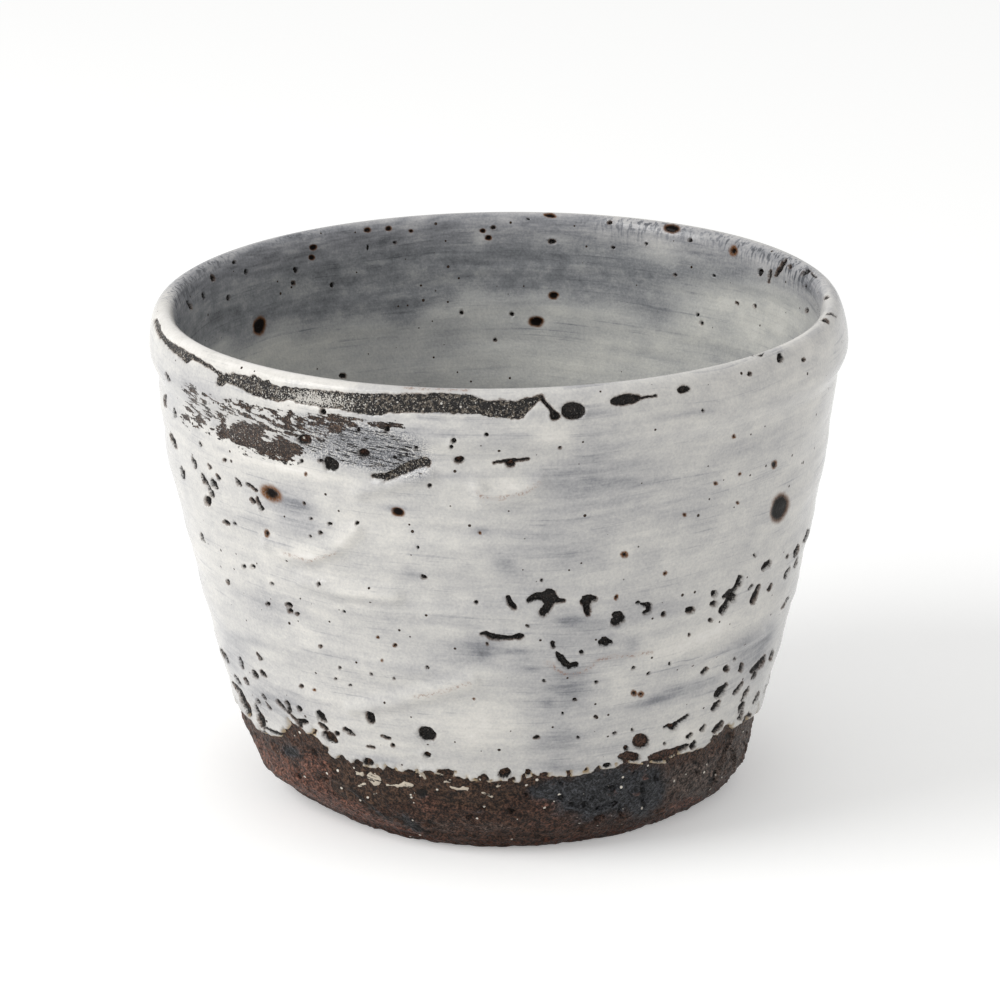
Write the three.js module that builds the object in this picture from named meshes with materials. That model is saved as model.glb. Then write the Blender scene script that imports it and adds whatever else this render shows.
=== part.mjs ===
// Handleless stoneware cup: a dark clay body with a white slip coat inside and another outside.
// Millimetres, +Z up, standing on z = 0 with its axis on the origin. The front is -Y.
import * as THREE from "three";
import { ParametricGeometry } from "three/addons/geometries/ParametricGeometry.js";

// Driving dimensions of the clay body
const crestHeight = 66.5;      // foot face to the crest of the clay lip
const collarRadius = 45.95;    // widest clay radius, just under the lip
const collarDrop = 4.7;        // crest down to the widest point
const grooveDrop = 8.7;        // crest down to the shallow groove under the collar
const grooveDepth = 1.15;      // groove radius inside the collar radius
const wallBulge = 1.3;         // swell of the wall past a straight line
const bevelRadius = 33.5;      // where the cut bevel of the foot meets the wall
const bevelHeight = 4.8;
const bevelEase = 1.6;         // softening of the corner between bevel and wall
const footRadius = 28.6;       // outer edge of the flat foot ring
const footEase = 0.5;          // softening of the foot's outer edge
const footRingWidth = 5;       // flat width of the foot ring
const recessDepth = 1.2;       // trimmed hollow under the foot
const recessSlope = 1.6;       // sloped width at the edge of that hollow
const lipThickness = 2.5;      // clay at the lip
const wallThickness = 4.4;     // clay just above the floor
const floorThickness = 6.2;    // foot face to the clay floor
const cornerRadius = 10;       // inside, between floor and wall

// Driving dimensions of the two coats
const outerCoat = 0.5;         // brushed slip and glaze outside
const innerCoat = 0.4;         // slip and glaze inside
const bondLine = 0.05;         // clay to the back of a coat
const lipLap = 2.1;            // crest down to the inner coat's edge outside the lip
const coatMeeting = 0.3;       // clear space between the edges of the two coats
const bareBand = 2.2;          // extra clay left bare under the lip at the front left
const bareBandFrom = -52;      // degrees round from the front, minus is to the left
const bareBandTo = 2;
const bareBandFade = 20;       // degrees over which each end of that band closes
const glazeLineHeight = 12.2;  // mean height of the outer coat's lower edge
const glazeLineWave = 0.6;     // rise and fall of that edge

// Hand work: the cup is a little oval and its rim stands higher on the right
const ovality = 0.2;
const ovalityTurn = 35;        // degrees
const rimTilt = 0.44;          // rise of the rim at its right side

// Fineness of the surfaces
const turns = 48;
const lowRows = 3;             // from the foot or the glaze line to the even wall
const wallRows = 5;            // up the even wall
const grooveRows = 6;          // through the groove
const collarRows = 4;          // over the collar to a coat's edge
const lapRows = 4;             // over the outside of the lip
const insideRows = [3, 5, 5, 2];  // inside of the lip, wall, corner, floor
const evenWallFrom = 5;        // above the mean glaze line
const grooveReach = 4.5;       // below the groove
const edgeReach = 0.5;         // below the lowest upper edge of the outer coat

const radians = THREE.MathUtils.degToRad;
const grooveRadius = collarRadius - grooveDepth;
const grooveHeight = crestHeight - grooveDrop;
const collarHeight = crestHeight - collarDrop;
const crestRadius = collarRadius - 0.6 * lipThickness;
const innerLipRadius = collarRadius - lipThickness;
const innerLipHeight = crestHeight - 0.6 * lipThickness;
const cornerHeight = floorThickness + cornerRadius;

// The wall swells evenly between the bevel and the groove, so its radius follows from its height.
function wallRadius(height) {
  const share = (height - bevelHeight) / (grooveHeight - bevelHeight);
  const straight = THREE.MathUtils.lerp(bevelRadius, grooveRadius, share);
  return straight + 4 * wallBulge * share * (1 - share);
}

const wallMiddle = new THREE.Vector2(
  (bevelRadius + grooveRadius) / 2 + 2 * wallBulge,
  (bevelHeight + grooveHeight) / 2,
);
const cornerStart = new THREE.Vector2(wallRadius(cornerHeight) - wallThickness, cornerHeight);

// Underside: hollow, flat foot ring, then the bevel up to its eased corner
function footPath() {
  const bevelRun = bevelRadius - footRadius;
  const bevelLength = Math.hypot(bevelRun, bevelHeight);
  const easeShare = bevelEase / bevelLength;
  const footShare = footEase / bevelLength;
  const ringInside = footRadius - footRingWidth;
  const path = new THREE.Path();
  path.moveTo(0, recessDepth);
  path.lineTo(ringInside - recessSlope, recessDepth);
  path.lineTo(ringInside, 0);
  path.lineTo(footRadius - footEase, 0);
  path.quadraticCurveTo(footRadius, 0, footRadius + bevelRun * footShare, bevelHeight * footShare);
  path.lineTo(bevelRadius - bevelRun * easeShare, bevelHeight * (1 - easeShare));
  path.quadraticCurveTo(
    bevelRadius, bevelHeight,
    wallRadius(bevelHeight + bevelEase), bevelHeight + bevelEase,
  );
  return path;
}

// Outside of the wall, over the groove and the collar to the crest of the lip
function outsidePath() {
  const start = bevelHeight + bevelEase;
  const share = (start - bevelHeight) / (grooveHeight - bevelHeight);
  const wall = new THREE.QuadraticBezierCurve(
    new THREE.Vector2(wallRadius(start), start),
    new THREE.Vector2(
      THREE.MathUtils.lerp(wallMiddle.x, grooveRadius, share),
      THREE.MathUtils.lerp(wallMiddle.y, grooveHeight, share),
    ),
    new THREE.Vector2(grooveRadius, grooveHeight),
  );
  const path = new THREE.Path();
  path.curves.push(wall);
  path.currentPoint.set(grooveRadius, grooveHeight);
  const rise = collarHeight - grooveHeight;
  const lean = (grooveRadius - wallMiddle.x) / (grooveHeight - wallMiddle.y);
  path.bezierCurveTo(
    grooveRadius + 0.4 * rise * lean, grooveHeight + 0.4 * rise,
    collarRadius, collarHeight - 0.45 * rise,
    collarRadius, collarHeight,
  );
  path.bezierCurveTo(
    collarRadius, collarHeight + 0.72 * collarDrop,
    crestRadius + 0.35 * lipThickness, crestHeight,
    crestRadius, crestHeight,
  );
  return path;
}

// From the crest down the inside to the middle of the floor
function insidePath() {
  const path = new THREE.Path();
  path.moveTo(crestRadius, crestHeight);
  path.bezierCurveTo(
    crestRadius - 0.22 * lipThickness, crestHeight,
    innerLipRadius + 0.1 * lipThickness, innerLipHeight + 0.3 * lipThickness,
    innerLipRadius, innerLipHeight,
  );
  path.quadraticCurveTo(
    (innerLipRadius + cornerStart.x) / 2 + 2 * wallBulge, (innerLipHeight + cornerHeight) / 2,
    cornerStart.x, cornerStart.y,
  );
  const lean = (wallRadius(cornerHeight + 1) - wallRadius(cornerHeight)) * cornerRadius;
  path.quadraticCurveTo(
    cornerStart.x - lean, floorThickness,
    cornerStart.x - lean - cornerRadius, floorThickness,
  );
  path.lineTo(0, floorThickness);
  return path;
}

const outside = outsidePath();
const inside = insidePath();

// Share of the outside path at which it passes a height on its way up
function outsideShare(height) {
  let low = 0;
  let high = 1;
  for (let step = 0; step < 24; step += 1) {
    const middle = (low + high) / 2;
    if (outside.getPointAt(middle).y < height) low = middle;
    else high = middle;
  }
  return (low + high) / 2;
}

// Point at a share of a path, moved out from the clay by a distance
function offClay(path, share, distance) {
  const point = path.getPointAt(share);
  const along = path.getTangentAt(share);
  return point.add(new THREE.Vector2(along.y, -along.x).multiplyScalar(distance));
}

// Where the rows of the clay and of the outer coat lie on each other
const highestEdge = crestHeight - lipLap - coatMeeting - innerCoat;
const wallFrom = outsideShare(glazeLineHeight + evenWallFrom);
const grooveFrom = outsideShare(grooveHeight - grooveReach);
const grooveTo = outsideShare(highestEdge - bareBand - edgeReach);
const lapFrom = outsideShare(crestHeight - lipLap);

function evenly(from, to, rows) {
  return Array.from({ length: rows }, (_, row) => THREE.MathUtils.lerp(from, to, row / rows));
}

// Shares of the outside path between two edges of a surface
function outsideShares(low, high) {
  return [
    ...evenly(low, wallFrom, lowRows),
    ...evenly(wallFrom, grooveFrom, wallRows),
    ...evenly(grooveFrom, grooveTo, grooveRows),
    ...evenly(grooveTo, high, collarRows),
    high,
  ];
}

// Round the lip the clay and the inner coat share their rows too.
function lapShares() {
  return [...evenly(lapFrom, 1, lapRows), 1];
}

// Shares of the inside path: each of its four stretches has rows of its own.
function insideShares() {
  const ends = inside.getCurveLengths();
  const total = ends[ends.length - 1];
  const shares = ends.flatMap((end, i) => evenly((ends[i - 1] ?? 0) / total, end / total, insideRows[i]));
  return [...shares.slice(1), 1];
}

function upright(geometry) {
  return geometry.rotateX(Math.PI / 2);
}

// Ovality and tilt grow from nothing at the foot, so the foot face stays flat.
function asThrown(geometry) {
  const places = geometry.attributes.position;
  const total = crestHeight + bondLine + innerCoat;
  for (let i = 0; i < places.count; i += 1) {
    const x = places.getX(i);
    const y = places.getY(i);
    const z = places.getZ(i);
    const up = z / total;
    const turn = Math.atan2(y, x) - radians(ovalityTurn);
    const swell = 1 + (ovality / collarRadius) * up * Math.cos(2 * turn);
    places.setXYZ(i, x * swell, y * swell, z + rimTilt * (x / collarRadius) * up * up);
  }
  geometry.computeVertexNormals();
  return geometry;
}

function clayGeometry() {
  const points = footPath().getPoints(4);
  for (const share of outsideShares(0, lapFrom).slice(1)) points.push(outside.getPointAt(share));
  for (const share of lapShares().slice(1)) points.push(outside.getPointAt(share));
  for (const share of insideShares()) points.push(inside.getPointAt(share));
  points[points.length - 1].x = 0;
  return asThrown(upright(new THREE.LatheGeometry(points, turns)));
}

// A lining closed at the middle of the floor, its edge lapped over the lip
function innerCoatGeometry() {
  const back = [];
  const face = [];
  for (const share of lapShares()) {
    back.push(offClay(outside, share, bondLine));
    face.push(offClay(outside, share, bondLine + innerCoat));
  }
  for (const share of insideShares()) {
    back.push(offClay(inside, share, bondLine));
    face.push(offClay(inside, share, bondLine + innerCoat));
  }
  back[back.length - 1].x = 0;
  face[face.length - 1].x = 0;
  return asThrown(upright(new THREE.LatheGeometry([...back.reverse(), ...face], turns)));
}

// Height of the outer coat's lower edge at an angle from the front
function glazeLine(angle) {
  const wave = Math.cos(2 * angle) - Math.cos(4 * angle) + 0.8 * Math.sin(3 * angle);
  return glazeLineHeight + glazeLineWave * wave;
}

// Height of the outer coat's upper edge, lower along the bare band
function upperEdge(angle) {
  const degrees = THREE.MathUtils.radToDeg(angle);
  const opens = THREE.MathUtils.smoothstep(degrees, bareBandFrom - bareBandFade, bareBandFrom);
  const closes = THREE.MathUtils.smoothstep(degrees, bareBandTo, bareBandTo + bareBandFade);
  return highestEdge - bareBand * (opens - closes);
}

// A sleeve that closes on itself: up its face, over its top edge and down its back
function outerCoatGeometry() {
  const faceRows = lowRows + wallRows + grooveRows + collarRows;
  const loopRows = 2 * faceRows + 2;
  const sleeve = (u, v, target) => {
    const column = Math.round(u * turns) % turns;
    const row = Math.round(v * loopRows) % loopRows;
    const angle = (column / turns - 0.5) * 2 * Math.PI;
    const shares = outsideShares(outsideShare(glazeLine(angle)), outsideShare(upperEdge(angle)));
    const onFace = row <= faceRows;
    const share = shares[onFace ? row : loopRows - 1 - row];
    const point = offClay(outside, share, onFace ? bondLine + outerCoat : bondLine);
    target.set(point.x * Math.sin(angle), -point.x * Math.cos(angle), point.y);
  };
  return asThrown(new ParametricGeometry(sleeve, turns, loopRows));
}

function piece(name, geometry, colour, roughness) {
  const material = new THREE.MeshStandardMaterial({ color: colour, roughness, metalness: 0 });
  const mesh = new THREE.Mesh(geometry, material);
  mesh.name = name;
  return mesh;
}

const cup = new THREE.Group();
cup.name = "handleless_cup";
cup.add(piece("clay_body", clayGeometry(), 0x4a3a32, 0.8));
cup.add(piece("inner_slip_coat", innerCoatGeometry(), 0xc6c6c2, 0.3));
cup.add(piece("outer_slip_coat", outerCoatGeometry(), 0xdddbd6, 0.25));

export default cup;
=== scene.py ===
# Handleless stoneware cup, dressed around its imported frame
import math
import random
from types import SimpleNamespace

import bpy
import numpy as np
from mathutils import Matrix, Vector, noise


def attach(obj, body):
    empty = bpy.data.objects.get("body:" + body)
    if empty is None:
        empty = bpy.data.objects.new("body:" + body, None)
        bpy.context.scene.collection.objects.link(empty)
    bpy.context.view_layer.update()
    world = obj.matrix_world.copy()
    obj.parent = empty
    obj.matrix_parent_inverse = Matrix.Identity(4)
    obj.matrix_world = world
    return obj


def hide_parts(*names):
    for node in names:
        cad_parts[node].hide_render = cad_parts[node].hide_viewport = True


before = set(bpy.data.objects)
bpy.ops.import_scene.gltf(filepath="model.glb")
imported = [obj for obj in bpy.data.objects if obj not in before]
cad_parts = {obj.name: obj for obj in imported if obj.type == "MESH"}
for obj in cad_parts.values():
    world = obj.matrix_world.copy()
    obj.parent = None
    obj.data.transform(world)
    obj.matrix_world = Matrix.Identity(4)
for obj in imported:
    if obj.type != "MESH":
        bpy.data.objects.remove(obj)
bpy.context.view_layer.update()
mm = 0.001

# where the photograph was taken from, in mm, degrees and pixels of a 1000 x 1000 picture
viewPoint = {
    "distance": 600.0,
    "elevation": 18.05,
    "aimHeight": 33.0,
    "aimPixel": (499.25, 538.86),
    "focalPixels": 4430.0,
    "picture": 1000.0,
    "sensor": 36.0,
}

# the turned form in mm, with the sizes that the solids have
cupForm = {
    "crestHeight": 66.5,
    "collarRadius": 45.95,
    "collarDrop": 4.7,
    "grooveDrop": 8.7,
    "grooveDepth": 1.15,
    "wallBulge": 1.3,
    "bevelRadius": 33.5,
    "bevelHeight": 4.8,
    "bevelEase": 1.6,
    "footRadius": 28.6,
    "footEase": 0.5,
    "footRingWidth": 5.0,
    "recessDepth": 1.2,
    "recessSlope": 1.6,
    "lipThickness": 2.5,
    "wallThickness": 4.4,
    "floorThickness": 6.2,
    "cornerRadius": 10.0,
    "outerCoat": 0.55,
    "lapCoat": 0.5,
    "crestCoat": 0.47,
    "innerCoat": 0.45,
    "lipLap": 2.1,
    "ovality": 0.2,
    "ovalityTurn": 35.0,
    "rimTilt": 0.44,
    "columns": 420,
}
form = SimpleNamespace(**cupForm)


def smooth(value, low, high):  # eased step from 0 at low to 1 at high
    share = np.clip((value - low) / (high - low), 0.0, 1.0)
    return share * share * (3.0 - 2.0 * share)


def curveLine(corners, steps):  # points along one Bezier curve
    share = np.linspace(0.0, 1.0, steps + 1)[:, None]
    layers = [np.repeat(np.array([corner], float), steps + 1, axis=0) for corner in corners]
    while len(layers) > 1:
        layers = [a * (1 - share) + b * share for a, b in zip(layers, layers[1:])]
    return layers[0]


def joinLines(*lines):
    return np.vstack([lines[0]] + [line[1:] for line in lines[1:]])


grooveRadius = form.collarRadius - form.grooveDepth
grooveHeight = form.crestHeight - form.grooveDrop
collarHeight = form.crestHeight - form.collarDrop
crestRadius = form.collarRadius - 0.6 * form.lipThickness
innerLip = (form.collarRadius - form.lipThickness, form.crestHeight - 0.6 * form.lipThickness)
cornerHeight = form.floorThickness + form.cornerRadius


def wallRadius(height):  # clay outside, between bevel and groove
    share = (height - form.bevelHeight) / (grooveHeight - form.bevelHeight)
    straight = form.bevelRadius + (grooveRadius - form.bevelRadius) * share
    return straight + 4 * form.wallBulge * share * (1 - share)


# half section of the clay: underside, bevel, wall, collar, lip, then down the inside to the floor
bevelTop = form.bevelHeight + form.bevelEase
bevelRun = form.bevelRadius - form.footRadius
bevelLength = math.hypot(bevelRun, form.bevelHeight)
ringInside = form.footRadius - form.footRingWidth
easeShare = form.bevelEase / bevelLength
footShare = form.footEase / bevelLength
bevelFoot = (form.footRadius + bevelRun * footShare, form.bevelHeight * footShare)
bevelEnd = (form.bevelRadius - bevelRun * easeShare, form.bevelHeight * (1 - easeShare))
wallSteps = np.linspace(bevelTop, grooveHeight, 160)
wallLine = np.column_stack([wallRadius(wallSteps), wallSteps])
grooveLean = wallRadius(grooveHeight) - wallRadius(grooveHeight - 1)
collarRise = collarHeight - grooveHeight
cornerStart = (wallRadius(cornerHeight) - form.wallThickness, cornerHeight)
cornerLean = (wallRadius(cornerHeight + 1) - wallRadius(cornerHeight)) * form.cornerRadius
footLine = joinLines(
    curveLine([(0, form.recessDepth), (ringInside - form.recessSlope, form.recessDepth)], 60),
    curveLine([(ringInside - form.recessSlope, form.recessDepth), (ringInside, 0)], 8),
    curveLine([(ringInside, 0), (form.footRadius - form.footEase, 0)], 14),
    curveLine([(form.footRadius - form.footEase, 0), (form.footRadius, 0), bevelFoot], 6),
    curveLine([bevelFoot, bevelEnd], 20),
    curveLine([bevelEnd, (form.bevelRadius, form.bevelHeight), (wallRadius(bevelTop), bevelTop)], 12),
)
outsideLine = joinLines(
    wallLine,
    curveLine([
        (grooveRadius, grooveHeight),
        (grooveRadius + 0.4 * collarRise * grooveLean, grooveHeight + 0.4 * collarRise),
        (form.collarRadius, collarHeight - 0.45 * collarRise),
        (form.collarRadius, collarHeight),
    ], 30),
    curveLine([
        (form.collarRadius, collarHeight),
        (form.collarRadius, collarHeight + 0.72 * form.collarDrop),
        (crestRadius + 0.35 * form.lipThickness, form.crestHeight),
        (crestRadius, form.crestHeight),
    ], 40),
)
floorEdge = (cornerStart[0] - cornerLean - form.cornerRadius, form.floorThickness)
insideLine = joinLines(
    curveLine([
        (crestRadius, form.crestHeight),
        (crestRadius - 0.22 * form.lipThickness, form.crestHeight),
        (innerLip[0] + 0.1 * form.lipThickness, innerLip[1] + 0.3 * form.lipThickness),
        innerLip,
    ], 24),
    curveLine([
        innerLip,
        ((innerLip[0] + cornerStart[0]) / 2 + 2 * form.wallBulge, (innerLip[1] + cornerHeight) / 2),
        cornerStart,
    ], 160),
    curveLine([cornerStart, (cornerStart[0] - cornerLean, form.floorThickness), floorEdge], 40),
    curveLine([floorEdge, (0, form.floorThickness)], 60),
)


def lengthsOf(line):
    return np.concatenate([[0.0], np.cumsum(np.hypot(*np.diff(line, axis=0).T))])


section = joinLines(footLine, outsideLine, insideLine)
walked = lengthsOf(section)
sectionStep = 0.2
pathAt = np.arange(0.0, walked[-1], sectionStep)
pathPoints = np.column_stack([np.interp(pathAt, walked, section[:, i]) for i in (0, 1)])
pathSlope = np.gradient(pathPoints, axis=0)
pathSlope /= np.hypot(*pathSlope.T)[:, None]
pathNormal = np.column_stack([pathSlope[:, 1], -pathSlope[:, 0]])  # out of the clay
footEdgeStep = 60 + 8 + 14  # steps of the foot's line up to the end of its flat ring
ringEdgeAt = lengthsOf(footLine)[footEdgeStep]
wallAt = lengthsOf(footLine)[-1]
crestAt = wallAt + lengthsOf(outsideLine)[-1]
endAt = pathAt[-1]


def pathPlace(at, off):  # radius and height at a length along the section, moved off the clay
    at = np.clip(np.asarray(at, float), 0, endAt)
    radius, height = [
        np.interp(at, pathAt, pathPoints[:, i]) + off * np.interp(at, pathAt, pathNormal[:, i])
        for i in (0, 1)
    ]
    return np.maximum(radius, 0.0), height


def outsideAt(height):  # length along the section where the outside passes a height
    onWall = (pathAt > wallAt - 6) & (pathAt < crestAt)
    return np.interp(height, pathPoints[onWall, 1], pathAt[onWall])


lapAt = outsideAt(form.crestHeight - form.lipLap)


def coatDepth(at):  # even thickness of slip and glaze along the section
    along = [lapAt - 6, lapAt, crestAt, crestAt + 5]
    return np.interp(at, along, [form.outerCoat, form.lapCoat, form.crestCoat, form.innerCoat])


# where the hand-thrown cup leaves the turned form:
# angle from the front, height, reach round in degrees, reach up in mm, mm outwards
handSwells = [
    (-88, 47, 40, 8, 0.55), (90, 66, 30, 3, -0.45), (90, 53, 30, 3, -0.3), (-88, 8.6, 20, 1.3, 0.5),
    (-88, 5.2, 14, 2.2, -0.6), (-70, 3.5, 14, 3, 0.5), (-52, 0, 20, 3, -0.9), (78, 0.5, 24, 4.5, 2.2),
    (2, 0, 32, 3, 1.0), (38, 0, 16, 3, 0.6),
]
backRise = 0.6  # the far side of the rim stands higher


def asThrown(points):  # ovality and rim tilt of the solids and the swells of this cup, in mm
    x, y, z = points.T
    up = z / (form.crestHeight + form.innerCoat)
    turn = np.arctan2(y, x) - math.radians(form.ovalityTurn)
    swell = 1 + (form.ovality / form.collarRadius) * up * np.cos(2 * turn)
    radius = np.maximum(np.hypot(x, y), 1e-6)
    bearing = np.degrees(np.arctan2(x, -y))
    for angle, height, reach, reachUp, out in handSwells:
        near = np.exp(-(((bearing - angle + 180) % 360 - 180) / reach) ** 2 - ((z - height) / reachUp) ** 2)
        swell = swell + out * near * smooth(radius, 8, 22) / np.maximum(radius, 8)
    rise = form.rimTilt * x / form.collarRadius + backRise * np.maximum(y, 0) / form.collarRadius
    return np.column_stack([x * swell, y * swell, z + rise * up * up])


lookDown = math.radians(viewPoint["elevation"])
pixelsOff = (viewPoint["aimPixel"][1] - viewPoint["picture"] / 2) / viewPoint["focalPixels"]
lookTilt = lookDown - math.atan(pixelsOff)
aimShift = (viewPoint["picture"] / 2 - viewPoint["aimPixel"][0]) / viewPoint["focalPixels"]
cameraPlace = np.array([
    aimShift * viewPoint["distance"],
    -viewPoint["distance"] * math.cos(lookDown),
    viewPoint["aimHeight"] + viewPoint["distance"] * math.sin(lookDown),
])
lookAlong = np.array([0, math.cos(lookTilt), -math.sin(lookTilt)])
lookUp = np.array([0, math.sin(lookTilt), math.cos(lookTilt)])
pixelSize = viewPoint["distance"] / viewPoint["focalPixels"]  # mm on the cup that a pixel covers
leastFacing = 0.02  # what turns less than this to the camera isn't shown by the photograph
farOff = 40.0       # distance that stands for no mark nearby


def photoPixel(points):  # where thrown points fall in the photograph
    ray = points - cameraPlace
    deep = ray @ lookAlong
    half = viewPoint["picture"] / 2
    focal = viewPoint["focalPixels"]
    return half + focal * ray[:, 0] / deep, half - focal * (ray @ lookUp) / deep


def survey(points):  # what marks and relief need to know about points of an unthrown piece, in mm
    radius = np.hypot(points[:, 0], points[:, 1])
    nearest = np.empty(len(points), int)
    for start in range(0, len(points), 4000):
        part = slice(start, start + 4000)
        far = (radius[part, None] - pathPoints[None, :, 0]) ** 2
        far += (points[part, None, 2] - pathPoints[None, :, 1]) ** 2
        nearest[part] = far.argmin(axis=1)
    past = np.column_stack([radius, points[:, 2]]) - pathPoints[nearest]
    at = np.clip(pathAt[nearest] + (past * pathSlope[nearest]).sum(axis=1), 0, endAt)
    outR, outZ = [np.interp(at, pathAt, pathNormal[:, i]) for i in (0, 1)]
    off = (past * pathNormal[nearest]).sum(axis=1)
    flat = np.maximum(radius, 1e-6)
    normal = np.column_stack([points[:, 0] / flat * outR, points[:, 1] / flat * outR, outZ])
    thrown = asThrown(points)
    pixelX, pixelY = photoPixel(thrown)
    toCamera = cameraPlace - thrown
    facing = (normal * toCamera).sum(axis=1) / np.linalg.norm(toCamera, axis=1)
    outside = at < crestAt
    shown = facing > leastFacing
    return SimpleNamespace(
        points=points, at=at, off=off, normal=normal, radius=radius, height=points[:, 2],
        angle=np.degrees(np.arctan2(points[:, 0], -points[:, 1])),
        pixelX=pixelX, pixelY=pixelY, facing=facing, outside=outside,
        front=outside & shown & (points[:, 1] < 8), within=~outside & shown,
    )


def grain(points, size, layer=0.0):  # smooth noise about -1 to 1 with lumps of a size in mm
    lift = Vector((layer, 3.7 * layer, -1.9 * layer))
    return np.array([noise.noise(Vector(point) / size + lift) for point in points])


def ovalDistance(across, up, marks):  # signed distance to the nearest oval, and how wide that oval is
    nearest = np.full(len(across), farOff)
    width = np.full(len(across), 4.0)
    for x, y, halfWide, halfHigh, tilt in marks:
        reach = max(halfWide, halfHigh) * 2 + 14
        close = np.flatnonzero((np.abs(across - x) < reach) & (np.abs(up - y) < reach))
        dx, dy = across[close] - x, up[close] - y
        c, s = math.cos(math.radians(tilt)), math.sin(math.radians(tilt))
        u, v = (dx * c + dy * s) / halfWide, (dy * c - dx * s) / halfHigh
        ring = np.hypot(u, v) + 1e-6
        distance = (ring - 1) * ring / (np.hypot(u / halfWide, v / halfHigh) + 1e-6)
        nearer = distance < nearest[close]
        nearest[close[nearer]] = distance[nearer]
        width[close[nearer]] = min(halfWide, halfHigh)
    return nearest, width


def strokeField(across, up, strokes, beyond=14.0):  # as ovalDistance, for strokes of x, y, half width
    nearest = np.full(len(across), farOff)
    width = np.full(len(across), 4.0)
    for stroke in strokes:
        for (x0, y0, w0), (x1, y1, w1) in zip(stroke, stroke[1:]):
            reach = max(w0, w1) + beyond
            close = (across > min(x0, x1) - reach) & (across < max(x0, x1) + reach)
            close = np.flatnonzero(close & (up > min(y0, y1) - reach) & (up < max(y0, y1) + reach))
            dx, dy = x1 - x0, y1 - y0
            px, py = across[close] - x0, up[close] - y0
            share = np.clip((px * dx + py * dy) / (dx * dx + dy * dy + 1e-9), 0, 1)
            half = w0 + (w1 - w0) * share
            distance = np.hypot(px - share * dx, py - share * dy) - half
            nearer = distance < nearest[close]
            nearest[close[nearer]] = distance[nearer]
            width[close[nearer]] = half[nearer]
    return nearest, width


def strokeDistance(across, up, strokes, beyond=14.0):
    return strokeField(across, up, strokes, beyond)[0]


def ovalRing(across, up, marks):  # how far out in the nearest oval, 1 on its edge, its core and size
    ring = np.full(len(across), 9.0)
    core = np.full(len(across), 0.6)
    size = np.full(len(across), 4.0)
    for x, y, halfWide, halfHigh, tilt, share in marks:
        c, s = math.cos(math.radians(tilt)), math.sin(math.radians(tilt))
        dx, dy = across - x, up - y
        out = np.hypot((dx * c + dy * s) / halfWide, (dy * c - dx * s) / halfHigh)
        nearer = out < ring
        ring[nearer] = out[nearer]
        core[nearer] = share
        size[nearer] = min(halfWide, halfHigh)
    return ring, core, size


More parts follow.
